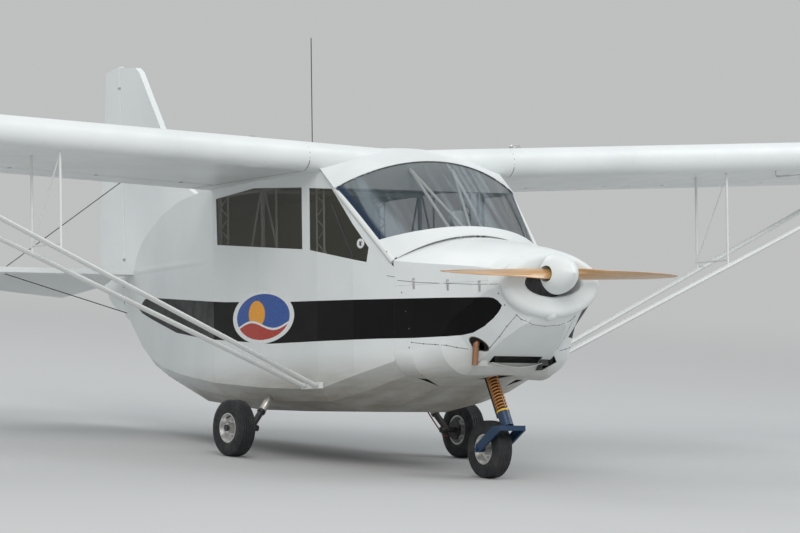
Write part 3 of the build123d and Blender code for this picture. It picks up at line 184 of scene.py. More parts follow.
def painted(name, colour, roughness=0.35, dirt=0.25, coat=0.3, bump=0.0004):
    """Sprayed paint with faint grime, uneven sheen and slight orange peel."""
    g = new_material(name)
    grime = g.fade(g.noise(2.3, 6, 0.6), 0.48, 0.85)
    specks = g.fade(g.noise(38, 4, 0.6), 0.62, 0.8)
    amount = g.times(g.plus(grime, g.times(specks, 0.35), clamp=True), dirt)
    tone = g.mix(amount, colour, GRIME)
    uneven = g.fade(g.noise(9, 4, 0.6), 0.3, 0.8, roughness, roughness + 0.18)
    g.shade(tone, uneven, {"Coat Weight": coat, "Coat Roughness": 0.12})
    if bump:
        g.bump(g.noise(160, 2, 0.5), bump, 0.25)
    return g.material


# The upper and lower edges of the black side band, as level (y, z) points
BAND_TOP = [
    (-2.083, 0.668), (-2.08, 0.697), (-2.068, 0.712), (-2.048, 0.717), (-1.964, 0.719),
    (-1.746, 0.727), (-1.29, 0.739), (-0.336, 0.764), (0.459, 0.799), (1.706, 0.886),
    (1.95, 0.906), (2.06, 0.898), (2.2, 0.846),
]
BAND_LOW = [
    (-2.083, 0.668), (-2.066, 0.65), (-2.047, 0.631), (-2.002, 0.593), (-1.94, 0.551),
    (-1.858, 0.514), (-1.798, 0.502), (-1.731, 0.495), (-1.478, 0.495), (-1.2, 0.502),
    (-0.097, 0.516), (0.88, 0.595), (1.396, 0.652), (1.927, 0.766), (2.12, 0.812),
    (2.2, 0.846),
]
# Middle (y, z) and half sizes of ovals on the sides: the soot round the exhaust, and the emblem
SOOT_SPOT = (-1.84, 0.447, 0.036, 0.043)
EMBLEM = (-0.015, 0.685, 0.36, 0.165)
# The ridge of one stringer on the side, from (y, z) to (y, z), and the length over which it rises
STRINGER = (0.62, 1.07, 2.356, 1.09)
STRINGER_RISE = 0.45


def curve_height(g, value, points):
    """The height of a line of (y, z) points at a y, as a node output."""
    result = None
    for (y0, z0), (y1, z1) in zip(points, points[1:]):
        rise = g.fade(value, y0, y1, 0.0, z1 - z0, "LINEAR")
        result = g.plus(rise, points[0][1]) if result is None else g.plus(result, rise)
    return result


def oval_place(g, y, z, oval):
    """Where a (y, z) lies in an oval, each from -1 to 1 across it."""
    return g.over(g.minus(y, oval[0]), oval[2]), g.over(g.minus(z, oval[1]), oval[3])


def fabric_white(name, band=False, ribs=None, stringer=None, soot=False):
    """White dope or gel coat, with a black side band, rib tapes, a stringer's ridge or soot."""
    g = new_material(name)
    place = g.level_place()
    x, y, z = g.split(place)
    cloudy = g.fade(g.noise(1.1, 5, 0.55), 0.35, 0.75)
    tone = g.mix(cloudy, (0.785, 0.815, 0.805), (0.705, 0.74, 0.732))
    # Browner and darker towards the bottom, in streaks: some dust, and painted shade with a painted
    # reflection of the grass under the belly
    low = g.fade(z, 0.46, 0.16)
    streaks = g.noise(3.2, 6, 0.65, place, (1.0, 0.35, 2.2))
    dust_and_shade = g.times(low, g.fade(streaks, 0.25, 0.8, 0.45, 0.95))
    tone = g.mix(dust_and_shade, tone, (0.22, 0.175, 0.115))
    if band:
        top = curve_height(g, y, BAND_TOP)
        floor = curve_height(g, y, BAND_LOW)
        inside = g.times(g.math("GREATER_THAN", z, floor), g.math("LESS_THAN", z, top))
        inside = g.times(inside, g.math("LESS_THAN", y, BAND_TOP[-1][0]))
        inside = g.times(inside, g.math("GREATER_THAN", y, BAND_TOP[0][0]))
        facing, _, _ = g.split(g.node("TexCoord").outputs["Normal"])
        inside = g.times(inside, g.math("GREATER_THAN", g.times(x, facing), 0.0))
        faded = g.fade(g.noise(2.0, 5, 0.6), 0.4, 0.8)
        black = g.mix(faded, (0.003, 0.003, 0.0035), (0.007, 0.006, 0.005))
        tone = g.mix(inside, tone, black)
    if soot:
        across, upward = oval_place(g, y, z, SOOT_SPOT)
        away = g.plus(g.times(across, across), g.times(upward, upward))
        spot = g.times(g.fade(away, 0.85, 1.25, 1.0, 0.0), g.math("LESS_THAN", x, 0.0))
        tone = g.mix(spot, tone, (0.016, 0.014, 0.012))
    uneven = g.fade(g.noise(6, 5, 0.6), 0.3, 0.8, 0.3, 0.48)
    g.shade(tone, uneven, {"Specular IOR Level": 0.14 if band else 0.4})
    weave = g.bump(g.noise(900, 2, 0.5), 0.0002, 0.3)
    if ribs:
        spacing, offset = ribs
        phase = g.math("FRACT", g.over(g.plus(g.math("ABSOLUTE", x), offset), spacing))
        away = g.times(g.math("ABSOLUTE", g.minus(phase, 0.5)), spacing)
        tape = g.fade(away, 0.013, 0.0155, 1.0, 0.0)
        sag = g.fade(away, 0.01, 0.5 * spacing, 1.0, 0.0)
        g.bump(g.plus(tape, g.times(sag, 4.0)), 0.0007, 0.8, weave)
    if stringer:
        y0, z0, y1, z1 = stringer
        line = g.plus(g.times(g.minus(y, y0), (z1 - z0) / (y1 - y0)), z0)
        away = g.math("ABSOLUTE", g.minus(z, line))
        ridge = g.times(g.fade(away, 0.0, 0.03, 1.0, 0.0), g.fade(y, y0, y0 + STRINGER_RISE))
        g.bump(ridge, 0.004, 0.7, weave)
    return g.material


def tinted_sheet(name, colour, alpha, reflection_colour=None):
    """Thin acrylic sheet that straight light passes, with lighter streaks of painted reflection where
    asked.
    """
    g = new_material(name)
    uneven = g.fade(g.noise(5, 5, 0.6), 0.4, 0.8, 0.04, 0.12)
    tone = g.mix(g.noise(3, 3, 0.5), colour, tuple(0.85 * c for c in colour))
    if reflection_colour:
        # Lighter, less clear streaks across the width: painted reflections of the surroundings
        streaks = g.noise(9, 4, 0.55, g.level_place(), (1.0, 0.08, 0.05))
        amount = g.fade(streaks, 0.5, 0.66, 0.0, 0.8)
        tone = g.mix(amount, tone, reflection_colour)
        x, _, z = g.split(g.level_place())
        edge = g.fade(g.plus(g.math("ABSOLUTE", x), g.times(z, -0.24)), 0.25, 0.285)
        tone = g.mix(edge, tone, (0.016, 0.04, 0.085))
        reflection_alpha = g.fade(amount, 0.0, 0.8, 0.0, 0.16)
        alpha = g.plus(reflection_alpha, g.fade(edge, 0.0, 1.0, alpha, alpha + 0.25))
    g.shade(tone, uneven, {"Alpha": alpha})
    return g.material


def rubber(name):
    """Tyre rubber with dust in its grain."""
    g = new_material(name)
    dust_and_shade = g.fade(g.noise(14, 6, 0.65), 0.42, 0.75)
    tone = g.mix(dust_and_shade, (0.014, 0.016, 0.019), (0.042, 0.04, 0.036))
    uneven = g.fade(g.noise(30, 4, 0.6), 0.3, 0.8, 0.55, 0.85)
    g.shade(tone, uneven)
    g.bump(g.noise(220, 3, 0.6), 0.0006, 0.4)
    return g.material


def metal(name, colour, roughness, wear=(0.25, 0.22, 0.19), amount=0.3):
    """Metal with stains and a faint drawn grain."""
    g = new_material(name)
    stain = g.times(g.fade(g.noise(18, 6, 0.65), 0.45, 0.8), amount)
    tone = g.mix(stain, colour, wear)
    grain = g.noise(60, 4, 0.6, stretch=(1, 1, 0.2))
    uneven = g.fade(grain, 0.3, 0.8, roughness, roughness + 0.25)
    g.shade(tone, uneven, {"Metallic": 1.0})
    g.bump(g.noise(300, 2, 0.5), 0.0002, 0.3)
    return g.material


def laminated_wood(name):
    """Glued wooden laminations under varnish."""
    g = new_material(name)
    _, y, _ = g.split(g.level_place())
    grain = g.noise(26, 6, 0.7, g.level_place(), (0.12, 1.6, 1.6))
    layers = g.math("FRACT", g.times(g.plus(y, g.times(grain, 0.004)), 55.0))
    tone = g.mix(g.fade(grain, 0.35, 0.7), (0.5, 0.27, 0.1), (0.68, 0.42, 0.19))
    tone = g.mix(g.fade(layers, 0.42, 0.58, 0.0, 0.35), tone, (0.33, 0.17, 0.07))
    g.shade(tone, 0.28, {"Coat Weight": 0.8, "Coat Roughness": 0.06})
    g.bump(grain, 0.0003, 0.2)
    return g.material


THREAD = 0.0012


def cloth(name, colour):
    """Woven cloth, its threads a wave each way."""
    g = new_material(name)
    x, y, z = g.split(g.place())
    warp = g.math("SINE", g.times(x, TURN / THREAD))
    weft = g.math("SINE", g.times(g.plus(y, z), TURN / THREAD))
    weave = g.times(warp, weft)
    tone = g.mix(g.fade(weave, -1, 1), colour, tuple(1.6 * c for c in colour))
    worn = g.fade(g.noise(7, 5, 0.6), 0.4, 0.8, 0.0, 0.4)
    tone = g.mix(worn, tone, tuple(0.6 * c for c in colour))
    g.shade(tone, 0.9, {"Sheen Weight": 0.25})
    g.bump(weave, 0.0004, 0.5)
    return g.material


MATERIALS = {
    "white_fabric": fabric_white("dope_white"),
    "white_band": fabric_white("dope_white_band", band=True),
    "white_hull": fabric_white("dope_white_hull", band=True, stringer=STRINGER),
    "white_ribbed": fabric_white("dope_white_ribbed", ribs=(0.315, 0.04)),
    "white_tail": fabric_white("dope_white_tail", ribs=(0.26, 0.02)),
    "white_gelcoat": fabric_white("gelcoat_white"),
    "white_soot": fabric_white("gelcoat_white_soot", band=True, soot=True),
    "white_tube": painted("tube_white", (0.74, 0.76, 0.74), 0.3, 0.2),
    "window": tinted_sheet("acrylic_brown", (0.055, 0.05, 0.03), 0.4),
    # The windscreen's last colour is the pale tone of its painted reflection streaks
    "windscreen": tinted_sheet("acrylic_clear", (0.075, 0.105, 0.125), 0.22, (0.34, 0.41, 0.45)),
    "tyre": rubber("tyre_rubber"),
    "rim": metal("rim_alloy", (0.72, 0.72, 0.71), 0.32),
    "black_steel": painted("steel_black", (0.02, 0.021, 0.024), 0.4, 0.3),
    "blue_steel": painted("steel_blue", (0.006, 0.036, 0.095), 0.35, 0.12, coat=0.1),
    "spring": painted("spring_orange", (0.56, 0.22, 0.035), 0.35, 0.3),
    "propeller": laminated_wood("wood_laminated"),
    "seat": cloth("seat_cloth", (0.1, 0.105, 0.12)),
    "panel": painted("panel_black", (0.03, 0.03, 0.032), 0.6, 0.3, coat=0.0),
    "engine": metal("engine_cast", (0.2, 0.2, 0.21), 0.55),
    "exhaust": metal("exhaust_rust", (0.42, 0.24, 0.15), 0.5, (0.22, 0.09, 0.04), 0.8),
    "wire": metal("wire_dark", (0.1, 0.1, 0.1), 0.45),
}
STEEL = metal("fitting_steel", (0.62, 0.62, 0.61), 0.3)
DARK_STEEL = metal("screw_dark", (0.16, 0.15, 0.14), 0.45)
PALE_METAL = metal("sleeve_pale", (0.66, 0.64, 0.6), 0.42)
SEAM = painted("seam_shadow", (0.06, 0.058, 0.052), 0.7, 0.4, coat=0.0, bump=0.0)
BLACK = painted("fitting_black", (0.018, 0.018, 0.02), 0.42, 0.3)
YELLOW = painted("collar_yellow", (0.75, 0.44, 0.02), 0.35, 0.3)
WHITE_PLASTIC = painted("plastic_white", (0.74, 0.76, 0.76), 0.35, 0.2, coat=0.1)
RED_RUBBER = painted("hose_red", (0.42, 0.045, 0.02), 0.5, 0.3, coat=0.0)
RUBBER = MATERIALS["tyre"]
DIAL_PALE = painted("dial_pale", (0.8, 0.84, 0.85), 0.3, 0.12)
FINISHES = {
    "white_hull": ("fuselage_skin",),
    "white_soot": ("cowl_lower",),
    "white_band": ("door_left", "nose_bowl", "firewall"),
    "white_ribbed": (
        "wing_centre", "wing_left", "wing_right", "flap_left", "flap_right",
        "aileron_left", "aileron_right",
    ),
    "white_tail": ("tailplane", "elevator"),
}
finish_of = {part["node"]: part["material_slot"] for part in frame["record"]["subparts"]}
finish_of.update({name: finish for finish, names in FINISHES.items() for name in names})
for name, thing in nodes.items():
    thing.data.materials.clear()
    thing.data.materials.append(MATERIALS[finish_of[name]])
nodes["compass"].data.materials[0] = DIAL_PALE


# Surfaces to lay details on


def tree_of(*names):
    """A ray-casting tree over the meshes of some CAD nodes."""
    vertices = []
    faces = []
    for name in names:
        mesh = nodes[name].data
        start = len(vertices)
        vertices.extend(vertex.co.copy() for vertex in mesh.vertices)
        faces.extend([start + index for index in polygon.vertices] for polygon in mesh.polygons)
    return BVHTree.FromPolygons(vertices, faces)


SIGHT_REACH = 1.5


def cast(tree, point, towards):
    """Where a sight line through a level point first meets the surface.

    Where it meets nothing, the surface's place nearest the point is taken.
    """
    direction = level_direction(*towards).normalized()
    place, normal, _, _ = tree.ray_cast(level(*point) - direction * SIGHT_REACH, direction)
    if place is None:
        return nearest(tree, point)
    return place, (normal if normal.dot(direction) < 0 else -normal)


def nearest(tree, point):
    """The surface place nearest a level point, with the normal on the point's side."""
    start = level(*point)
    place, normal, _, _ = tree.find_nearest(start)
    return place, (normal if normal.dot(start - place) >= 0 else -normal)


def add_object(name, data):
    """A new object in the scene."""
    thing = bpy.data.objects.new(name, data)
    bpy.context.collection.objects.link(thing)
    return thing


def new_piece(name, parts, material, body="airframe", smooth=True):
    """One mesh object from several (vertices, faces) parts, riding on a body."""
    vertices = []
    faces = []
    for part_vertices, part_faces in parts:
        start = len(vertices)
        vertices.extend(tuple(v) for v in part_vertices)
        faces.extend(tuple(start + index for index in face) for face in part_faces)
    mesh = bpy.data.meshes.new(name)
    mesh.from_pydata(vertices, [], faces)
    mesh.update()
    if smooth:
        mesh.shade_smooth()
    mesh.materials.append(material)
    piece = add_object(name, mesh)
    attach(piece, body)
    return piece


def resample(points, step):
    """Points along a run of straight lines, no further apart than a step."""
    result = [Vector(points[0])]
    for start, end in zip(points, points[1:]):
        start, end = Vector(start), Vector(end)
        count = max(1, ceil((end - start).length / step))
        result.extend(start.lerp(end, i / count) for i in range(1, count + 1))
    return result


def ring_faces(rings, sides, closed=False):
    """Quads between successive rings of points, and from the last to the first if closed."""
    faces = []
    for i in range(rings if closed else rings - 1):
        first, second = i * sides, ((i + 1) % rings) * sides
        for k in range(sides):
            nxt = (k + 1) % sides
            faces.append((first + k, first + nxt, second + nxt, second + k))
    return faces


def end_faces(rings, sides):
    """The two faces that close a run of rings at its ends."""
    return [tuple(range(sides - 1, -1, -1)), tuple((rings - 1) * sides + k for k in range(sides))]


def ring_points(centre, across, upward, radius, sides):
    """Points round a circle in the plane of two directions."""
    points = []
    for k in range(sides):
        angle = TURN * k / sides
        points.append(centre + (across * cos(angle) + upward * sin(angle)) * radius)
    return points


STRIP_DEPTH = -0.0006
STRIP_STEP = 0.02


def strip(places, width, lift, closed=False):
    """A thin solid band through (place, normal) pairs, as vertices and faces."""
    vertices = []
    count = len(places)
    for i, (place, normal) in enumerate(places):
        before = places[i - 1][0] if closed or i > 0 else place
        after = places[(i + 1) % count][0] if closed or i < count - 1 else place
        across = normal.cross(after - before).normalized() * width / 2
        section = ((across, STRIP_DEPTH), (across, lift), (-across, lift), (-across, STRIP_DEPTH))
        for offset, height in section:
            vertices.append(place + offset + normal * height)
    faces = ring_faces(count, 4, closed)
    if not closed:
        faces.append((0, 1, 2, 3))
        faces.append(tuple(4 * (count - 1) + k for k in (3, 2, 1, 0)))
    return vertices, faces


def laid_strip(tree, points, towards, width, lift=0.0004):
    """A strip laid on the surface, along sight lines or by nearest places."""
    places = []
    for point in resample(points, STRIP_STEP):
        places.append(cast(tree, point, towards) if towards else nearest(tree, point))
    return strip(places, width, lift)


def turned_shape(place, axis, rings, sides):
    """A lathe form around an axis from (height, radius) rings, closed at both ends."""
    axis = axis.normalized()
    across = axis.orthogonal().normalized()
    upward = axis.cross(across)
    vertices = []
    for height, radius in rings:
        vertices += ring_points(place + axis * height, across, upward, radius, sides)
    return vertices, ring_faces(len(rings), sides) + end_faces(len(rings), sides)


def screw_head(place, normal, radius):
    rings = [(-0.0006, radius), (0.0006, radius), (0.0014, radius * 0.62)]
    return turned_shape(place, normal, rings, 8)


def round_tube(points, radius, sides, closed=False):
    """A tube along row-frame points, as vertices and faces."""
    vertices = []
    count = len(points)
    across = None
    for i, point in enumerate(points):
        before = points[i - 1] if closed or i > 0 else point
        after = points[(i + 1) % count] if closed or i < count - 1 else point
        along = (after - before).normalized()
        if across is None:
            across = along.orthogonal().normalized()
        across = (across - along * across.dot(along)).normalized()
        vertices += ring_points(point, across, along.cross(across), radius, sides)
    faces = ring_faces(count, sides, closed)
    return vertices, faces if closed else faces + end_faces(count, sides)


def arc_points(half_width, side_y, side_z, middle_y, middle_z, count=41):
    """Level points of the shallow arc through both sides and the middle of a windscreen line."""
    foot = Vector((0, side_y, side_z))
    rise = Vector((0, middle_y, middle_z)) - foot
    half = (Vector((half_width, side_y, side_z)) - foot).length
    sagitta = rise.length
    radius = (half * half + sagitta * sagitta) / (2 * sagitta)
    reach = asin(half / radius)
    result = []
    for i in range(count):
        angle = reach * (2 * i / (count - 1) - 1)
        up = sagitta - radius * (1 - cos(angle))
        point = Vector((radius * sin(angle), side_y, side_z)) + rise.normalized() * up
        result.append(tuple(point))
    return result


# Wheels and nose spring


def lathe_x(centre, profile, sides):
    """A closed ring turned about the X axis from a loop of (x, radius) points."""
    vertices = []
    for k in range(sides):
        angle = TURN * k / sides
        for x, radius in profile:
            turned = Vector((x, radius * cos(angle), radius * sin(angle)))
            vertices.append(centre + turned)
    return vertices, ring_faces(sides, len(profile), closed=True)


def tyre_profile():
    """Half-balloon section with five tread grooves, a shoulder and a bead, as (x, radius)."""
    half, outer, bead = 0.056, TYRE_RADIUS, 0.092
    side = [
        (-0.049, bead), (-0.0525, bead + 0.008), (-0.0555, bead + 0.022), (-half, bead + 0.04),
        (-0.055, bead + 0.054), (-0.0515, bead + 0.068), (-0.0465, bead + 0.0765),
        (-0.043, outer - 0.0035),
    ]
    tread = []
    for centre in (-0.032, -0.016, 0.0, 0.016, 0.032):
        crown = outer - 1.6 * centre * centre
        for offset, depth in ((-0.0022, 0.0), (-0.0014, 0.0035), (0.0014, 0.0035), (0.0022, 0.0)):
            tread.append((centre + offset, crown - depth))
    return side + tread + [(-x, radius) for x, radius in reversed(side)]


SIDES = (("left", 1), ("right", -1))
HALF_TRACK = 0.859
WHEELBASE = 1.508
# Each wheel's name, body and level centre, and the side of its valve
WHEELS = [
    ("left", "wheel_left", (HALF_TRACK, 0.0, 0.0), 1),
    ("right", "wheel_right", (-HALF_TRACK, 0.0, 0.0), -1),
    ("nose", "nose_wheel", (0.0, -WHEELBASE, -WHEELBASE * tan(ATTITUDE)), -1),
]
RIM_FACE = 0.0098
BOLT_CIRCLE = 0.051
BOLT_COUNT = 6
NUT_RINGS = [(0, 0.0085), (0.006, 0.0085), (0.0075, 0.007)]
BOLT_RINGS = [(0, 0.0045), (0.011, 0.0045), (0.012, 0.003)]
VALVE_RINGS = [(-0.016, 0.004), (0.01, 0.004), (0.011, 0.0048), (0.02, 0.0048), (0.021, 0.003)]


def build_wheels():
    """Tyres with grooved tread, and the bolts and valves on their rims."""
    for name, body, centre, valve_side in WHEELS:
        middle = level(*centre)
        tread = lathe_x(middle, tyre_profile(), 96)
        tyre = new_piece(f"tread_{name}", [tread], RUBBER, body)
        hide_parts(f"tyre_{name}")
        parts = []
        for side in (1, -1):
            outward = Vector((side, 0, 0))
            for k in range(BOLT_COUNT):
                angle = TURN * (k + 0.5) / BOLT_COUNT
                offset = (side * RIM_FACE, BOLT_CIRCLE * cos(angle), BOLT_CIRCLE * sin(angle))
                spot = middle + Vector(offset)
                parts.append(turned_shape(spot, outward, NUT_RINGS, 6))
                parts.append(turned_shape(spot, outward, BOLT_RINGS, 10))
        new_piece(f"rim_bolts_{name}", parts, STEEL, body, smooth=False)
        valve_foot = middle + Vector((valve_side * 0.04, 0.0, 0.07))
        valve = turned_shape(valve_foot, Vector((valve_side, 0, -0.5)), VALVE_RINGS, 10)
        new_piece(f"valve_{name}", [valve], BLACK, body)


NOSE_LEG_TOP = Vector((0.0, -1.5, 0.345))
NOSE_LEG_FOOT = Vector((0.0, -1.702, -0.05))
COIL_START = 0.119
COIL_TOP_GAP = 0.048
COIL_WIRE = 0.005
COIL_RADIUS = 0.033
COIL_TURNS = 13


def build_nose_spring():
    """The coil round the nose leg as one smooth wire, and its two yellow collars."""
    leg = NOSE_LEG_TOP - NOSE_LEG_FOOT
    direction = leg.normalized()
    coil_end = leg.length - COIL_TOP_GAP
    upward = direction.cross(ACROSS)
    rise = coil_end - COIL_START - 2 * COIL_WIRE
    points = []
    steps = COIL_TURNS * 28
    for i in range(steps + 1):
        angle = TURN * COIL_TURNS * i / steps
        offset = (ACROSS * cos(angle) + upward * sin(angle)) * COIL_RADIUS
        height = COIL_START + COIL_WIRE + rise * i / steps
        points.append(level(*(NOSE_LEG_FOOT + direction * height + offset)))
    wire = round_tube(points, COIL_WIRE, 10)
    coil = new_piece("coil_spring", [wire], MATERIALS["spring"])
    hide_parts("nose_spring")
    parts = []
    for distance, thick, grown in ((0.106, 0.012, 0.04), (coil_end - 0.001, 0.01, 0.0398)):
        foot = level(*(NOSE_LEG_FOOT + direction * distance))
        axis = level_direction(*direction)
        parts.append(turned_shape(foot, axis, [(0, grown), (thick, grown)], 28))
    new_piece("spring_collars", parts, YELLOW, smooth=False)


# Seams, screws and small fittings, as level points on the right side that are mirrored to the left


LATCH_LINE = [
    (-0.555, -1.352, 0.848), (-0.517, -1.536, 0.826), (-0.469, -1.748, 0.812),
    (-0.426, -1.965, 0.797), (-0.353, -2.133, 0.791),
]
LATCH_STUB = [(-0.572, -1.262, 0.88), (-0.558, -1.332, 0.869)]
CHIN_SEAM = [
    (-0.215, -2.109, 0.61), (-0.222, -2.068, 0.577), (-0.23, -2.029, 0.546),
    (-0.238, -1.961, 0.487), (-0.243, -1.921, 0.458), (-0.248, -1.876, 0.425),
]
CHIN_ROW = [
    (-0.215, -2.109, 0.61), (-0.181, -2.11, 0.584), (-0.098, -2.107, 0.555), (0.0, -2.095, 0.547),
]
PAN_LINE = [
    (-0.533, -1.464, 0.469), (-0.512, -1.559, 0.457), (-0.49, -1.653, 0.449),
    (-0.454, -1.717, 0.442), (-0.401, -1.746, 0.429), (-0.336, -1.776, 0.418),
]
SIDE_SCREWS = [
    (-0.292, -2.096, 0.669), (-0.345, -2.107, 0.737), (-0.548, -1.386, 0.773),
    (-0.537, -1.442, 0.439), (-0.473, -1.479, 0.273), (-0.115, -1.613, 0.262),
    (-0.542, -1.416, 0.658), (-0.537, -1.444, 0.553), (-0.575, -1.27, 1.025),
]
SCREW_RADIUS = 0.0046
SEAM_WIDTH = 0.003
LATCH_STATIONS = (-1.487, -1.757, -2.07)
LATCH_DROP = 0.022
# Across, upward and outward sizes of a latch's parts
LATCH_PLATE = (0.017, 0.044, 0.003)
LATCH_LEVER = (0.01, 0.032, 0.0046)
LATCH_HOOK = (0.018, 0.013, 0.006)
HOOK_RISE = 0.041
BEDDED = 0.0006


def seam_z(y):
    """The height of the cowling's split line at a y."""
    for (_, y0, z0), (_, y1, z1) in zip(LATCH_LINE, LATCH_LINE[1:]):
        if y >= y1:
            break
    return z0 + (y - y0) * (z1 - z0) / (y1 - y0)


def on_side(points, side):
    """Points given on the right, as they are there or mirrored to the left."""
    return [(-side * x, y, z) for x, y, z in points]


def build_cowl_details():
    """The cowling's seams, screws and latches."""
    tree = tree_of("cowl_upper", "cowl_lower", "nose_bowl", "screen_band", "fuselage_skin", "pillars")
    seams = []
    screws = []
    latches = []
    wires = []
    fastened = [CHIN_SEAM[k] for k in (0, 2, 3, 5)] + PAN_LINE[:5] + SIDE_SCREWS
    for side in (-1, 1):
        oblique = (-side * 0.565, 0.8235, 0.0525)
        rearward = (0, 1, 0)
        for line in (LATCH_LINE, LATCH_STUB, CHIN_SEAM, PAN_LINE):
            seams.append(laid_strip(tree, on_side(line, side), oblique, SEAM_WIDTH))
        seams.append(laid_strip(tree, on_side(CHIN_ROW, side), rearward, SEAM_WIDTH))
        for points, towards in ((fastened, oblique), (CHIN_ROW[1:], rearward)):
            for point in on_side(points, side):
                screws.append(screw_head(*cast(tree, point, towards), SCREW_RADIUS))
        for y in LATCH_STATIONS:
            latches.extend(latch(tree, side, y))
            wires.append(latch_wire(tree, side, y))
    new_piece("cowl_seams", seams, SEAM, smooth=False)
    new_piece("cowl_screws", screws, DARK_STEEL, smooth=False)
    new_piece("cowl_latches", latches, STEEL, smooth=False)
    new_piece("latch_wires", wires, STEEL)


def latch_frame(tree, side, y):
    """A latch's place under the split line, with its outward, upward and crosswise directions."""
    place, normal = cast(tree, (side * 0.6, y, seam_z(y) - LATCH_DROP), (-side, 0, 0))
    upward = (UPWARD - normal * UPWARD.dot(normal)).normalized()
    return place, normal, upward, normal.cross(upward)


def bar(place, axes, size, bevel=0.0):
    """A box about a place, with its axes and full sizes, its outer end narrowed by a bevel."""
    vertices = []
    for k, (sx, sy) in enumerate(((-1, -1), (1, -1), (1, 1), (-1, 1)) * 2):
        out = 0.0 if k < 4 else 1.0
        shrink = 1.0 if k < 4 else 1.0 - bevel
        flat = axes[0] * sx * size[0] / 2 * shrink + axes[1] * sy * size[1] / 2 * shrink
        vertices.append(place + (flat + axes[2] * size[2] * out))
    faces = [(3, 2, 1, 0), (4, 5, 6, 7)]
    faces += [(i, (i + 1) % 4, 4 + (i + 1) % 4, 4 + i) for i in range(4)]
    return vertices, faces


def latch(tree, side, y):
    """The plate, lever, hook and screws of one over-centre latch."""
    place, normal, upward, across = latch_frame(tree, side, y)
    axes = (across, upward, normal)
    face = LATCH_PLATE[2] - BEDDED
    parts = [
        bar(place - normal * BEDDED, axes, LATCH_PLATE, 0.2),
        bar(place + normal * face, axes, LATCH_LEVER, 0.35),
        bar(place + upward * HOOK_RISE - normal * BEDDED, axes, LATCH_HOOK, 0.35),
    ]
    for offset in (-0.017, 0.017):
        parts.append(screw_head(place + upward * offset + normal * face, normal, 0.0028))
    return parts


def latch_wire(tree, side, y):
    """The wire loop between one latch's lever and its hook."""
    place, normal, upward, across = latch_frame(tree, side, y)
    loop = []
    for i in range(20):
        angle = TURN * i / 20
        offset = across * 0.0058 * cos(angle) + upward * (0.026 + 0.019 * sin(angle))
        loop.append(place + normal * 0.0068 + offset)
    return round_tube(loop, 0.0012, 6, closed=True)


WING_JOINT_X = 0.762
# Sight lines on a wing section: how many, the (y, z) that they look at and how far off they start
SECTION_STEPS = 120
SECTION_MIDDLE = (-0.2, 1.56)
SECTION_SPAN = (1.4, 0.35)
CAP_RINGS = [(-0.006, 0.048), (0.004, 0.048), (0.006, 0.036), (0.024, 0.036), (0.028, 0.031)]
STRUT_PLATE_RINGS = [(0, 0.045), (0.002, 0.045), (0.003, 0.04)]
PLATE_BOLTS = 0.032


def section_ring(tree, x):
    """Places all round a wing section at an x, found by sight lines towards its middle."""
    y_middle, z_middle = SECTION_MIDDLE
    places = []
    for i in range(SECTION_STEPS):
        angle = TURN * i / SECTION_STEPS
        away = cos(angle) * SECTION_SPAN[0]
        start = level(x, y_middle + away, z_middle + sin(angle) * SECTION_SPAN[1])
        towards = (level(x, y_middle + 0.55 * away, z_middle) - start).normalized()
        place, normal, _, _ = tree.ray_cast(start, towards)
        if place is not None:
            places.append((place, normal if normal.dot(towards) < 0 else -normal))
    return places


def build_wing_details():
    """Panel seams, fuel caps, the pitot tube and the plates over the struts."""
    seams = []
    for name, side in SIDES:
        places = section_ring(tree_of("wing_centre", f"wing_{name}"), side * WING_JOINT_X)
        seams.append(strip(places, 0.0045, 0.0005, closed=True))
    new_piece("wing_seams", seams, SEAM, smooth=False)
    tree = tree_of("wing_centre", "wing_left", "wing_right", "hood", "flap_left", "flap_right")
    caps = []
    handle_axes = (ACROSS, UPWARD.cross(ACROSS), UPWARD)
    for side in (1, -1):
        place, _ = cast(tree, (side * 0.985, -0.42, 1.62), (0, 0, -1))
        caps.append(turned_shape(place, UPWARD, CAP_RINGS, 24))
        caps.append(bar(place + UPWARD * 0.026, handle_axes, (0.058, 0.01, 0.009), 0.2))
    new_piece("fuel_caps", caps, STEEL, smooth=False)
    place, _ = cast(tree, (2.85, -0.66, 1.5), (0, 0, 1))
    head = level_direction(0, -1, 0)
    down = level_direction(0, 0, -1)
    start = place + down * 0.035
    route = [place - down * 0.004, place + down * 0.02]
    route += [start + head * distance for distance in (0.015, 0.1, 0.42)]
    new_piece("pitot_tube", [round_tube(route, 0.0055, 12)], STEEL)
    plates = []
    wings = tree_of("wing_left", "wing_right")
    for side in (1, -1):
        for y in (-0.6, -0.11):
            place, normal = cast(wings, (side * 3.95, y, 1.4), (0, 0, 1))
            plates.append(turned_shape(place - normal * BEDDED, normal, STRUT_PLATE_RINGS, 20))
            for k in range(4):
                angle = pi / 4 + k * pi / 2
                offset = Vector((PLATE_BOLTS * cos(angle), PLATE_BOLTS * sin(angle), 0))
                plates.append(screw_head(place + offset + normal * 0.002, normal, 0.0055))
    new_piece("strut_plates", plates, STEEL, smooth=False)


# Half width, (y, z) at the sides and (y, z) in the middle of the windscreen's upper and lower edges
SCREEN_HEAD = (0.66, -0.852, 1.43, -0.95, 1.603)
SCREEN_FOOT = (0.562, -1.308, 0.974, -1.42, 1.132)
TAPE_WIDTH = 0.02
TAPE_LIFT = 0.0012
VENT_RINGS = [(-0.003, 0.03), (0.003, 0.03), (0.004, 0.026), (0.003, 0.021)]


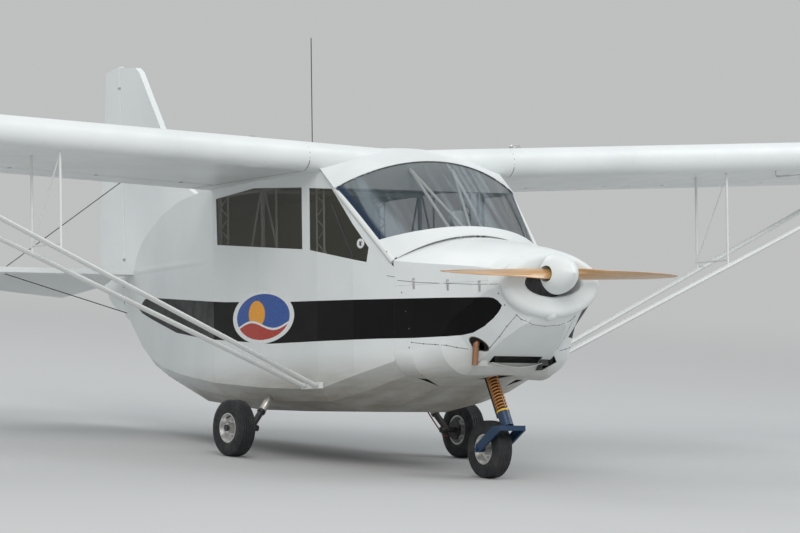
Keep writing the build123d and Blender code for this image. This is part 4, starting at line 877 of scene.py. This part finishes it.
def build_screen_details():
    """The tape and seal along the windscreen, and the plate behind its top."""
    cowling = tree_of("cowl_upper", "screen_band")
    found = [cowling.find_nearest(level(*point))[0] for point in arc_points(*SCREEN_FOOT, 61)]
    places = []
    for i in range(len(found)):
        near = found[max(0, i - 3):i + 4]
        place = sum(near, Vector()) / len(near)
        outward = (place - level(0, -1.2, 0.8)).normalized()
        places.append((place + outward * TAPE_LIFT, outward))
    tape = strip(places, TAPE_WIDTH, TAPE_LIFT)
    new_piece("cowl_tape", [tape], MATERIALS["white_gelcoat"])
    tree = tree_of("windscreen", "hood", "screen_band", "pillars")
    seal = laid_strip(tree, arc_points(*SCREEN_HEAD), None, 0.009, TAPE_LIFT)
    new_piece("screen_seals", [seal], SEAM, smooth=False)
    axes = (ACROSS, level_direction(0, 0.35, 0.94), level_direction(0, -0.94, 0.35))
    plate = bar(level(0.075, -0.893, 1.56), axes, (0.105, 0.045, 0.002))
    new_piece("screen_plate", [plate], DIAL_PALE, smooth=False)


def build_pane_details():
    """The rail and the air vent on the right front pane."""
    tree = tree_of("side_windows")
    rail = laid_strip(tree, [(-0.7, -0.783, 1.335), (-0.7, -0.982, 1.001)], (1, 0, 0), 0.02, 0.002)
    new_piece("pane_rail", [rail], BLACK, smooth=False)
    place, normal = cast(tree, (-0.7, -1.045, 1.085), (1, 0, 0))
    vent = turned_shape(place, normal, VENT_RINGS, 28)
    new_piece("vent_ring", [vent], WHITE_PLASTIC)
    blades = []
    for axis in (level_direction(0, 0.5, 0.86), level_direction(0, -0.7, 0.7)):
        axes = (normal.cross(axis).normalized(), axis, normal)
        blades.append(bar(place + normal * 0.0025, axes, (0.007, 0.034, 0.004), 0.3))
    new_piece("vent_blades", blades, BLACK, smooth=False)


LEG_TOP = (0.52, 0.02, 0.262)
LEG_FOOT_X = 0.736
BALL_RADIUS = 0.027
# Height and radius rings of the axle's nut and of the fitting behind it
AXLE_RINGS = [(-0.012, 0.019), (0.03, 0.019), (0.033, 0.014)]
ANCHOR_RINGS = [(-0.03, 0.012), (0.012, 0.012), (0.014, 0.008)]
CALIPER_SIZE = (0.026, 0.056, 0.034)
# The brake pipe: shares of the way up the leg with (x, y, z) off it, and level points at the wheel
PIPE_ON_LEG = ((0.93, 0.006, 0.026, -0.006), (0.6, 0.012, 0.03, -0.01), (0.25, 0.02, 0.03, -0.016))
PIPE_TO_BRAKE = ((0.742, 0.05, -0.03), (0.778, 0.05, -0.038))


def build_gear_details():
    """Sleeves, ball joints, collars, brake pipes and calipers on the main legs."""
    sleeves = []
    balls = []
    collars = []
    pipes = []
    calipers = []
    caliper_axes = (ACROSS, UPWARD, REARWARD)
    for side in (1, -1):
        top = Vector((side * LEG_TOP[0], LEG_TOP[1], LEG_TOP[2]))
        foot = Vector((side * LEG_FOOT_X, 0.0, 0.0))
        axis = level_direction(*(top - foot)).normalized()
        for share, length, radius, store in (
            (0.4, 0.135, 0.0232, sleeves),
            (0.36, 0.022, 0.0265, collars),
            (0.82, 0.018, 0.025, collars),
        ):
            start = level(*foot.lerp(top, share))
            edge = radius - 0.002
            rings = [(0, edge), (0.002, radius), (length - 0.002, radius), (length, edge)]
            store.append(turned_shape(start, axis, rings, 24))
        angles = [radians(v) for v in range(-80, 81, 16)]
        rings = [(BALL_RADIUS * sin(a), BALL_RADIUS * cos(a)) for a in angles]
        balls.append(turned_shape(level(*foot.lerp(top, 0.9)), axis, rings, 20))
        axle = level(side * 0.716, 0.0, 0.0)
        collars.append(turned_shape(axle, Vector((-side, 0, 0)), AXLE_RINGS, 20))
        anchor = level(side * 0.735, 0.034, -0.024)
        collars.append(turned_shape(anchor, REARWARD, ANCHOR_RINGS, 14))
        line = [foot.lerp(top, share) + Vector((-side * x, y, z)) for share, x, y, z in PIPE_ON_LEG]
        line += [Vector((side * x, y, z)) for x, y, z in PIPE_TO_BRAKE]
        pipes.append(round_tube(smooth_path([level(*p) for p in line], 8), 0.0042, 10))
        place = level(side * 0.797, 0.062, 0.0) - REARWARD * 0.022
        calipers.append(bar(place, caliper_axes, CALIPER_SIZE, 0.15))
    new_piece("leg_sleeves", sleeves, PALE_METAL)
    new_piece("leg_balls", balls, WHITE_PLASTIC)
    new_piece("leg_collars", collars, BLACK)
    new_piece("brake_pipes", pipes, RED_RUBBER)
    new_piece("brake_calipers", calipers, BLACK, smooth=False)


def smooth_path(points, steps):
    """A Catmull-Rom line through points."""
    longer = [2 * points[0] - points[1]] + points + [2 * points[-1] - points[-2]]
    result = []
    for i in range(1, len(longer) - 2):
        a, b, c, d = longer[i - 1:i + 3]
        for k in range(steps):
            t = k / steps
            result.append(0.5 * (2 * b + (c - a) * t + (2 * a - 5 * b + 4 * c - d) * t * t
                                 + (3 * b - a - 3 * c + d) * t ** 3))
    result.append(points[-1])
    return result


# Level places of the foot and the head of the panel's face
PANEL_LOW = Vector((0, -1.176, 0.78))
PANEL_HIGH = Vector((0, -1.226, 1.06))
# Each dial's x, height up the panel and radius
DIALS = [
    (-0.3, 0.205, 0.04), (-0.2, 0.205, 0.04), (-0.3, 0.105, 0.04), (-0.2, 0.105, 0.04),
    (-0.1, 0.155, 0.04), (0.06, 0.2, 0.03), (0.14, 0.2, 0.03), (0.06, 0.125, 0.03),
    (0.14, 0.125, 0.03),
]
# Each knob's x and height up the panel
KNOBS = [
    (0.235, 0.185), (0.365, 0.185), (0.235, 0.115), (0.365, 0.115),
    (-0.02, 0.06), (0.03, 0.06), (0.08, 0.06),
]
KNOB_RINGS = [(0.0, 0.01), (0.018, 0.009), (0.026, 0.0085), (0.027, 0.006)]


def build_instruments():
    """Dials with bezels, ticks and hands, two blank radio faces and knobs on the panel."""
    slope = (PANEL_HIGH - PANEL_LOW).normalized()
    outward = level_direction(0, slope.z, -slope.y)
    upward = level_direction(*slope)

    def spot(x, height):
        return level(*(PANEL_LOW + slope * height)) + ACROSS * x

    def hand_axes(angle):
        """Directions across and along a hand at an angle from upright, and outward."""
        along = ACROSS * sin(angle) + upward * cos(angle)
        return ACROSS * cos(angle) - upward * sin(angle), along, outward

    bezels = []
    dial_faces = []
    marks = []
    for x, height, radius in DIALS:
        place = spot(x, height)
        inner = radius - 0.0015
        outer = radius + 0.004
        rings = [(-0.001, outer), (0.005, outer), (0.007, outer - 0.003), (0.004, outer - 0.006)]
        bezels.append(turned_shape(place, outward, rings, 32))
        dial_faces.append(turned_shape(place, outward, [(0.0035, inner), (0.0048, inner)], 32))
        for k in range(12):
            axes = hand_axes(TURN * k / 12)
            size = (0.0016, 0.006 if k % 3 else 0.01, 0.0005)
            marks.append(bar(place + axes[1] * (radius * 0.78) + outward * 0.0047, axes, size))
        axes = hand_axes(0.9 + 7.0 * (x + height))
        size = (0.0028, radius * 0.8, 0.0008)
        marks.append(bar(place + axes[1] * radius * 0.26 + outward * 0.0052, axes, size, 0.3))
    radios = []
    for height, tall in ((0.185, 0.045), (0.115, 0.04)):
        radios.append(bar(spot(0.3, height), (ACROSS, upward, outward), (0.165, tall, 0.01), 0.04))
    knobs = [turned_shape(spot(*knob), outward, KNOB_RINGS, 16) for knob in KNOBS]
    new_piece("dial_bezels", bezels, BLACK)
    new_piece("dial_faces", dial_faces, MATERIALS["panel"], smooth=False)
    new_piece("dial_marks", marks, WHITE_PLASTIC, smooth=False)
    new_piece("radio_boxes", radios, BLACK, smooth=False)
    new_piece("panel_knobs", knobs, BLACK)


# Seats


PAD_VOXEL = 0.011
PAD_PRESSURE = 4.0
PAD_STIFFNESS = 15
PAD_FRAMES = 20
# The furthest that the pressure may move a point
PAD_MOST_MOVE = 0.014
CHANNEL_DEPTH = 0.006
CHANNEL_WIDTH = 0.006
SEAT_BASE_TOP = 0.4505
SEAT_EDGES = (0.04, 0.49)
CUSHION = [(-0.318, 0.456), (-0.318, 0.506), (0.138, 0.506), (0.138, 0.456)]
BACKREST = [(0.173, 0.462), (0.217, 0.462), (0.389, 1.068), (0.35, 1.076)]


def block_mesh(outline, x_low, x_high):
    """A closed prism from (y, z) corners between two x, as a Blender mesh."""
    mesh = bpy.data.meshes.new("pad")
    count = len(outline)
    vertices = [tuple(level(x, y, z)) for x in (x_low, x_high) for y, z in outline]
    faces = [tuple(range(count - 1, -1, -1)), tuple(range(count, 2 * count))]
    faces += [(i, (i + 1) % count, count + (i + 1) % count, count + i) for i in range(count)]
    mesh.from_pydata(vertices, [], faces)
    work = bmesh.new()
    work.from_mesh(mesh)
    bmesh.ops.recalc_face_normals(work, faces=work.faces)
    work.to_mesh(mesh)
    work.free()
    return mesh


def apply_modifiers(piece):
    """Makes what a piece's modifiers give its own mesh."""
    graph = bpy.context.evaluated_depsgraph_get()
    mesh = bpy.data.meshes.new_from_object(piece.evaluated_get(graph))
    piece.modifiers.clear()
    piece.data = mesh


def stuffed_pad(name, outline, x_low, x_high, channels, base_z=None):
    """A cushion: the block remeshed, blown up by cloth pressure, rounded and stitched.

    Channels are ("x", value) or ("along", value) lines of stitching, and no point is left
    under base_z.
    """
    pad = add_object(name, block_mesh(outline, x_low, x_high))
    remesh = pad.modifiers.new("remesh", "REMESH")
    remesh.mode = "VOXEL"
    remesh.voxel_size = PAD_VOXEL
    apply_modifiers(pad)
    before = [vertex.co.copy() for vertex in pad.data.vertices]
    cloth_modifier = pad.modifiers.new("cloth", "CLOTH")
    settings = cloth_modifier.settings
    settings.use_pressure = True
    settings.uniform_pressure_force = PAD_PRESSURE
    settings.effector_weights.gravity = 0.0
    settings.tension_stiffness = PAD_STIFFNESS
    settings.compression_stiffness = PAD_STIFFNESS
    cloth_modifier.point_cache.frame_end = PAD_FRAMES
    for step in range(1, PAD_FRAMES + 1):
        bpy.context.scene.frame_set(step)
    apply_modifiers(pad)
    bpy.context.scene.frame_set(1)
    for vertex, start in zip(pad.data.vertices, before):
        move = vertex.co - start
        if move.length > PAD_MOST_MOVE:
            move = move.normalized() * PAD_MOST_MOVE
        vertex.co = start + move
    smoother = pad.modifiers.new("smooth", "SUBSURF")
    smoother.levels = 1
    smoother.render_levels = 1
    apply_modifiers(pad)
    normals = [vertex.normal.copy() for vertex in pad.data.vertices]
    for vertex, normal in zip(pad.data.vertices, normals):
        depth = 0.0
        for kind, value in channels:
            spot = vertex.co.x if kind == "x" else along_pad(vertex.co, outline)
            depth = max(depth, CHANNEL_DEPTH * exp(-((spot - value) / CHANNEL_WIDTH) ** 2))
        vertex.co -= normal * depth
        if base_z is not None:
            flat = level_height(vertex.co)
            if flat < base_z:
                vertex.co += UPWARD * (base_z - flat)
    pad.data.shade_smooth()
    pad.data.materials.clear()
    pad.data.materials.append(MATERIALS["seat"])
    return pad


def level_height(place):
    """The height of a row-frame place in the level frame."""
    return (place.y - BODY_SHIFT) * sin(ATTITUDE) + (place.z - TYRE_RADIUS) * cos(ATTITUDE)


def along_pad(place, outline):
    """How far along a pad's longer side a row-frame place is, in metres."""
    start = level(0, *outline[0])
    end = level(0, *outline[-1])
    direction = (end - start).normalized()
    return (place - start).dot(direction)


def build_seats():
    """The cushion and the backrest of both seats."""
    for name, side in SIDES:
        x_low, x_high = sorted(side * edge for edge in SEAT_EDGES)
        middle = (x_low + x_high) / 2
        stitches = [("x", middle - 0.12), ("x", middle), ("x", middle + 0.12)]
        cushion = stuffed_pad(f"cushion_{name}", CUSHION, x_low, x_high, stitches, SEAT_BASE_TOP)
        rolls = [("along", value) for value in (0.14, 0.28, 0.42, 0.52)]
        back = stuffed_pad(f"backrest_{name}", BACKREST, x_low, x_high, rolls)
        for piece in (cushion, back):
            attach(piece, "airframe")
            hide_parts(f"seat_{name}")


# Colour on the right side


def emblem_material():
    """A plain sign: a white rim round blue sky, an orange sun, a white wave line and a red slope."""
    g = new_material("emblem_colours")
    _, y, z = g.split(g.level_place())
    u, v = oval_place(g, y, z, EMBLEM)
    radius = g.math("SQRT", g.plus(g.times(u, u), g.times(v, v)))
    tone = g.mix(g.noise(40, 3, 0.5), (0.015, 0.07, 0.3), (0.025, 0.1, 0.38))
    du = g.minus(u, 0.18)
    dv = g.minus(v, 0.12)
    sun = g.math("SQRT", g.plus(g.times(g.times(du, du), 3.4), g.times(dv, dv)))
    tone = g.mix(g.math("LESS_THAN", sun, 0.5), tone, (0.85, 0.36, 0.02))
    ridge = g.plus(-0.36, g.times(g.math("SINE", g.times(u, 4.2)), 0.16))
    tone = g.mix(g.math("LESS_THAN", v, g.plus(ridge, 0.08)), tone, (0.82, 0.83, 0.82))
    tone = g.mix(g.math("LESS_THAN", v, ridge), tone, (0.45, 0.035, 0.02))
    tone = g.mix(g.math("GREATER_THAN", radius, 0.86), tone, (0.8, 0.815, 0.81))
    uneven = g.fade(g.noise(20, 3, 0.5), 0.3, 0.8, 0.25, 0.38)
    g.shade(tone, uneven)
    return g.material


def build_emblem():
    """The sign's thin oval, laid on the right side."""
    tree = tree_of("fuselage_skin", "door_left")
    rings, sides = 10, 64
    vertices = []
    for ring in range(rings + 1):
        for k in range(sides):
            angle = TURN * k / sides
            share = ring / rings
            y = EMBLEM[0] + EMBLEM[2] * share * cos(angle)
            z = EMBLEM[1] + EMBLEM[3] * share * sin(angle)
            place, normal = cast(tree, (-0.65, y, z), (1, 0, 0))
            vertices.append(place + normal * 0.0009)
    sheet = (vertices, ring_faces(rings + 1, sides))
    new_piece("emblem_right", [sheet], emblem_material())


# Stage, light and camera


BACKDROP = (0.52, 0.525, 0.525)
FLOOR_REACH = 400.0
# Each lamp's place, power, size and colour
LAMPS = [
    ((-9, -14, 13), 1500, 9, (1.0, 0.98, 0.95)),
    ((12, -6, 12), 900, 9, (0.95, 0.98, 1.0)),
    ((0, 12, 12), 600, 10, (1.0, 1.0, 1.0)),
]
# The camera: level place, azimuth, elevation and roll in degrees, and focal length in pixels
CAMERA_PLACE = (-25.731, -38.084, -1.409)
CAMERA_ANGLES = (34.448, -3.008, -0.705)
FOCAL_LENGTH = 7401.9
PHOTO_WIDTH = 800
SENSOR_WIDTH = 36.0


def build_floor():
    """A pale floor that fades into the backdrop far off."""
    mesh = bpy.data.meshes.new("floor")
    corners = [(FLOOR_REACH * x, FLOOR_REACH * y, 0) for x, y in ((-1, -1), (1, -1), (1, 1), (-1, 1))]
    mesh.from_pydata(corners, [], [(0, 1, 2, 3)])
    floor = add_object("floor", mesh)
    g = new_material("floor_pale")
    tone = g.mix(g.noise(0.8, 3, 0.5), (0.5, 0.505, 0.5), (0.52, 0.525, 0.52))
    g.shade(tone, 0.95, {"Specular IOR Level": 0.1})
    far = g.node("VectorMath", operation="LENGTH")
    g.link(g.place(), far.inputs[0])
    glow = g.node("Emission")
    g.feed(glow, {"Color": BACKDROP})
    blend = g.node("MixShader")
    g.link(g.fade(far.outputs["Value"], 5.0, 22.0), blend.inputs[0])
    g.link(g.shader.outputs[0], blend.inputs[1])
    g.link(glow.outputs[0], blend.inputs[2])
    g.link(blend.outputs[0], g.tree.nodes["Material Output"].inputs["Surface"])
    mesh.materials.append(g.material)


def build_light():
    """The world's even light, which shows the backdrop's colour itself, and the soft lamps."""
    world = bpy.data.worlds.new("studio")
    bpy.context.scene.world = world
    world.use_nodes = True
    g = Graph(world.node_tree)
    back = world.node_tree.nodes["Background"]
    path = g.node("LightPath")
    seen = g.math("MAXIMUM", path.outputs["Is Camera Ray"], path.outputs["Is Transmission Ray"])
    seen = g.math("MAXIMUM", seen, path.outputs["Is Glossy Ray"])
    g.feed(back, {"Color": g.mix(seen, (0.6, 0.62, 0.65), BACKDROP), "Strength": 1.0})
    for place, energy, size, colour in LAMPS:
        data = bpy.data.lights.new("softbox", "AREA")
        data.energy = energy
        data.size = size
        data.color = colour
        lamp = add_object("softbox", data)
        lamp.location = place
        lamp.rotation_euler = (Vector((0, 0, 1)) - Vector(place)).to_track_quat("-Z", "Y").to_euler()


def build_camera():
    """The camera of the photograph: a long lens far off, low down, ahead of the right wing."""
    azimuth, elevation, roll = (radians(v) for v in CAMERA_ANGLES)
    flat = cos(elevation)
    look = Vector((sin(azimuth) * flat, cos(azimuth) * flat, -sin(elevation)))
    right = Vector((cos(azimuth), -sin(azimuth), 0))
    upward = right.cross(look)
    turned_right = cos(roll) * right + sin(roll) * upward
    turned_up = -sin(roll) * right + cos(roll) * upward
    axes = [level_direction(*v) for v in (turned_right, turned_up, -look)]
    matrix = Matrix([[axes[c][r] for c in range(3)] for r in range(3)]).to_4x4()
    matrix.translation = level(*CAMERA_PLACE)
    data = bpy.data.cameras.new("photo_camera")
    data.sensor_width = SENSOR_WIDTH
    data.lens = FOCAL_LENGTH / PHOTO_WIDTH * SENSOR_WIDTH
    data.clip_end = 2000
    camera = add_object("photo_camera", data)
    camera.matrix_world = matrix
    bpy.context.scene.camera = camera
    bpy.context.scene.view_settings.view_transform = "Standard"


build_floor()
build_light()
build_camera()
build_wheels()
build_nose_spring()
build_cowl_details()
build_wing_details()
build_screen_details()
build_pane_details()
build_gear_details()
build_instruments()
build_emblem()
build_seats()
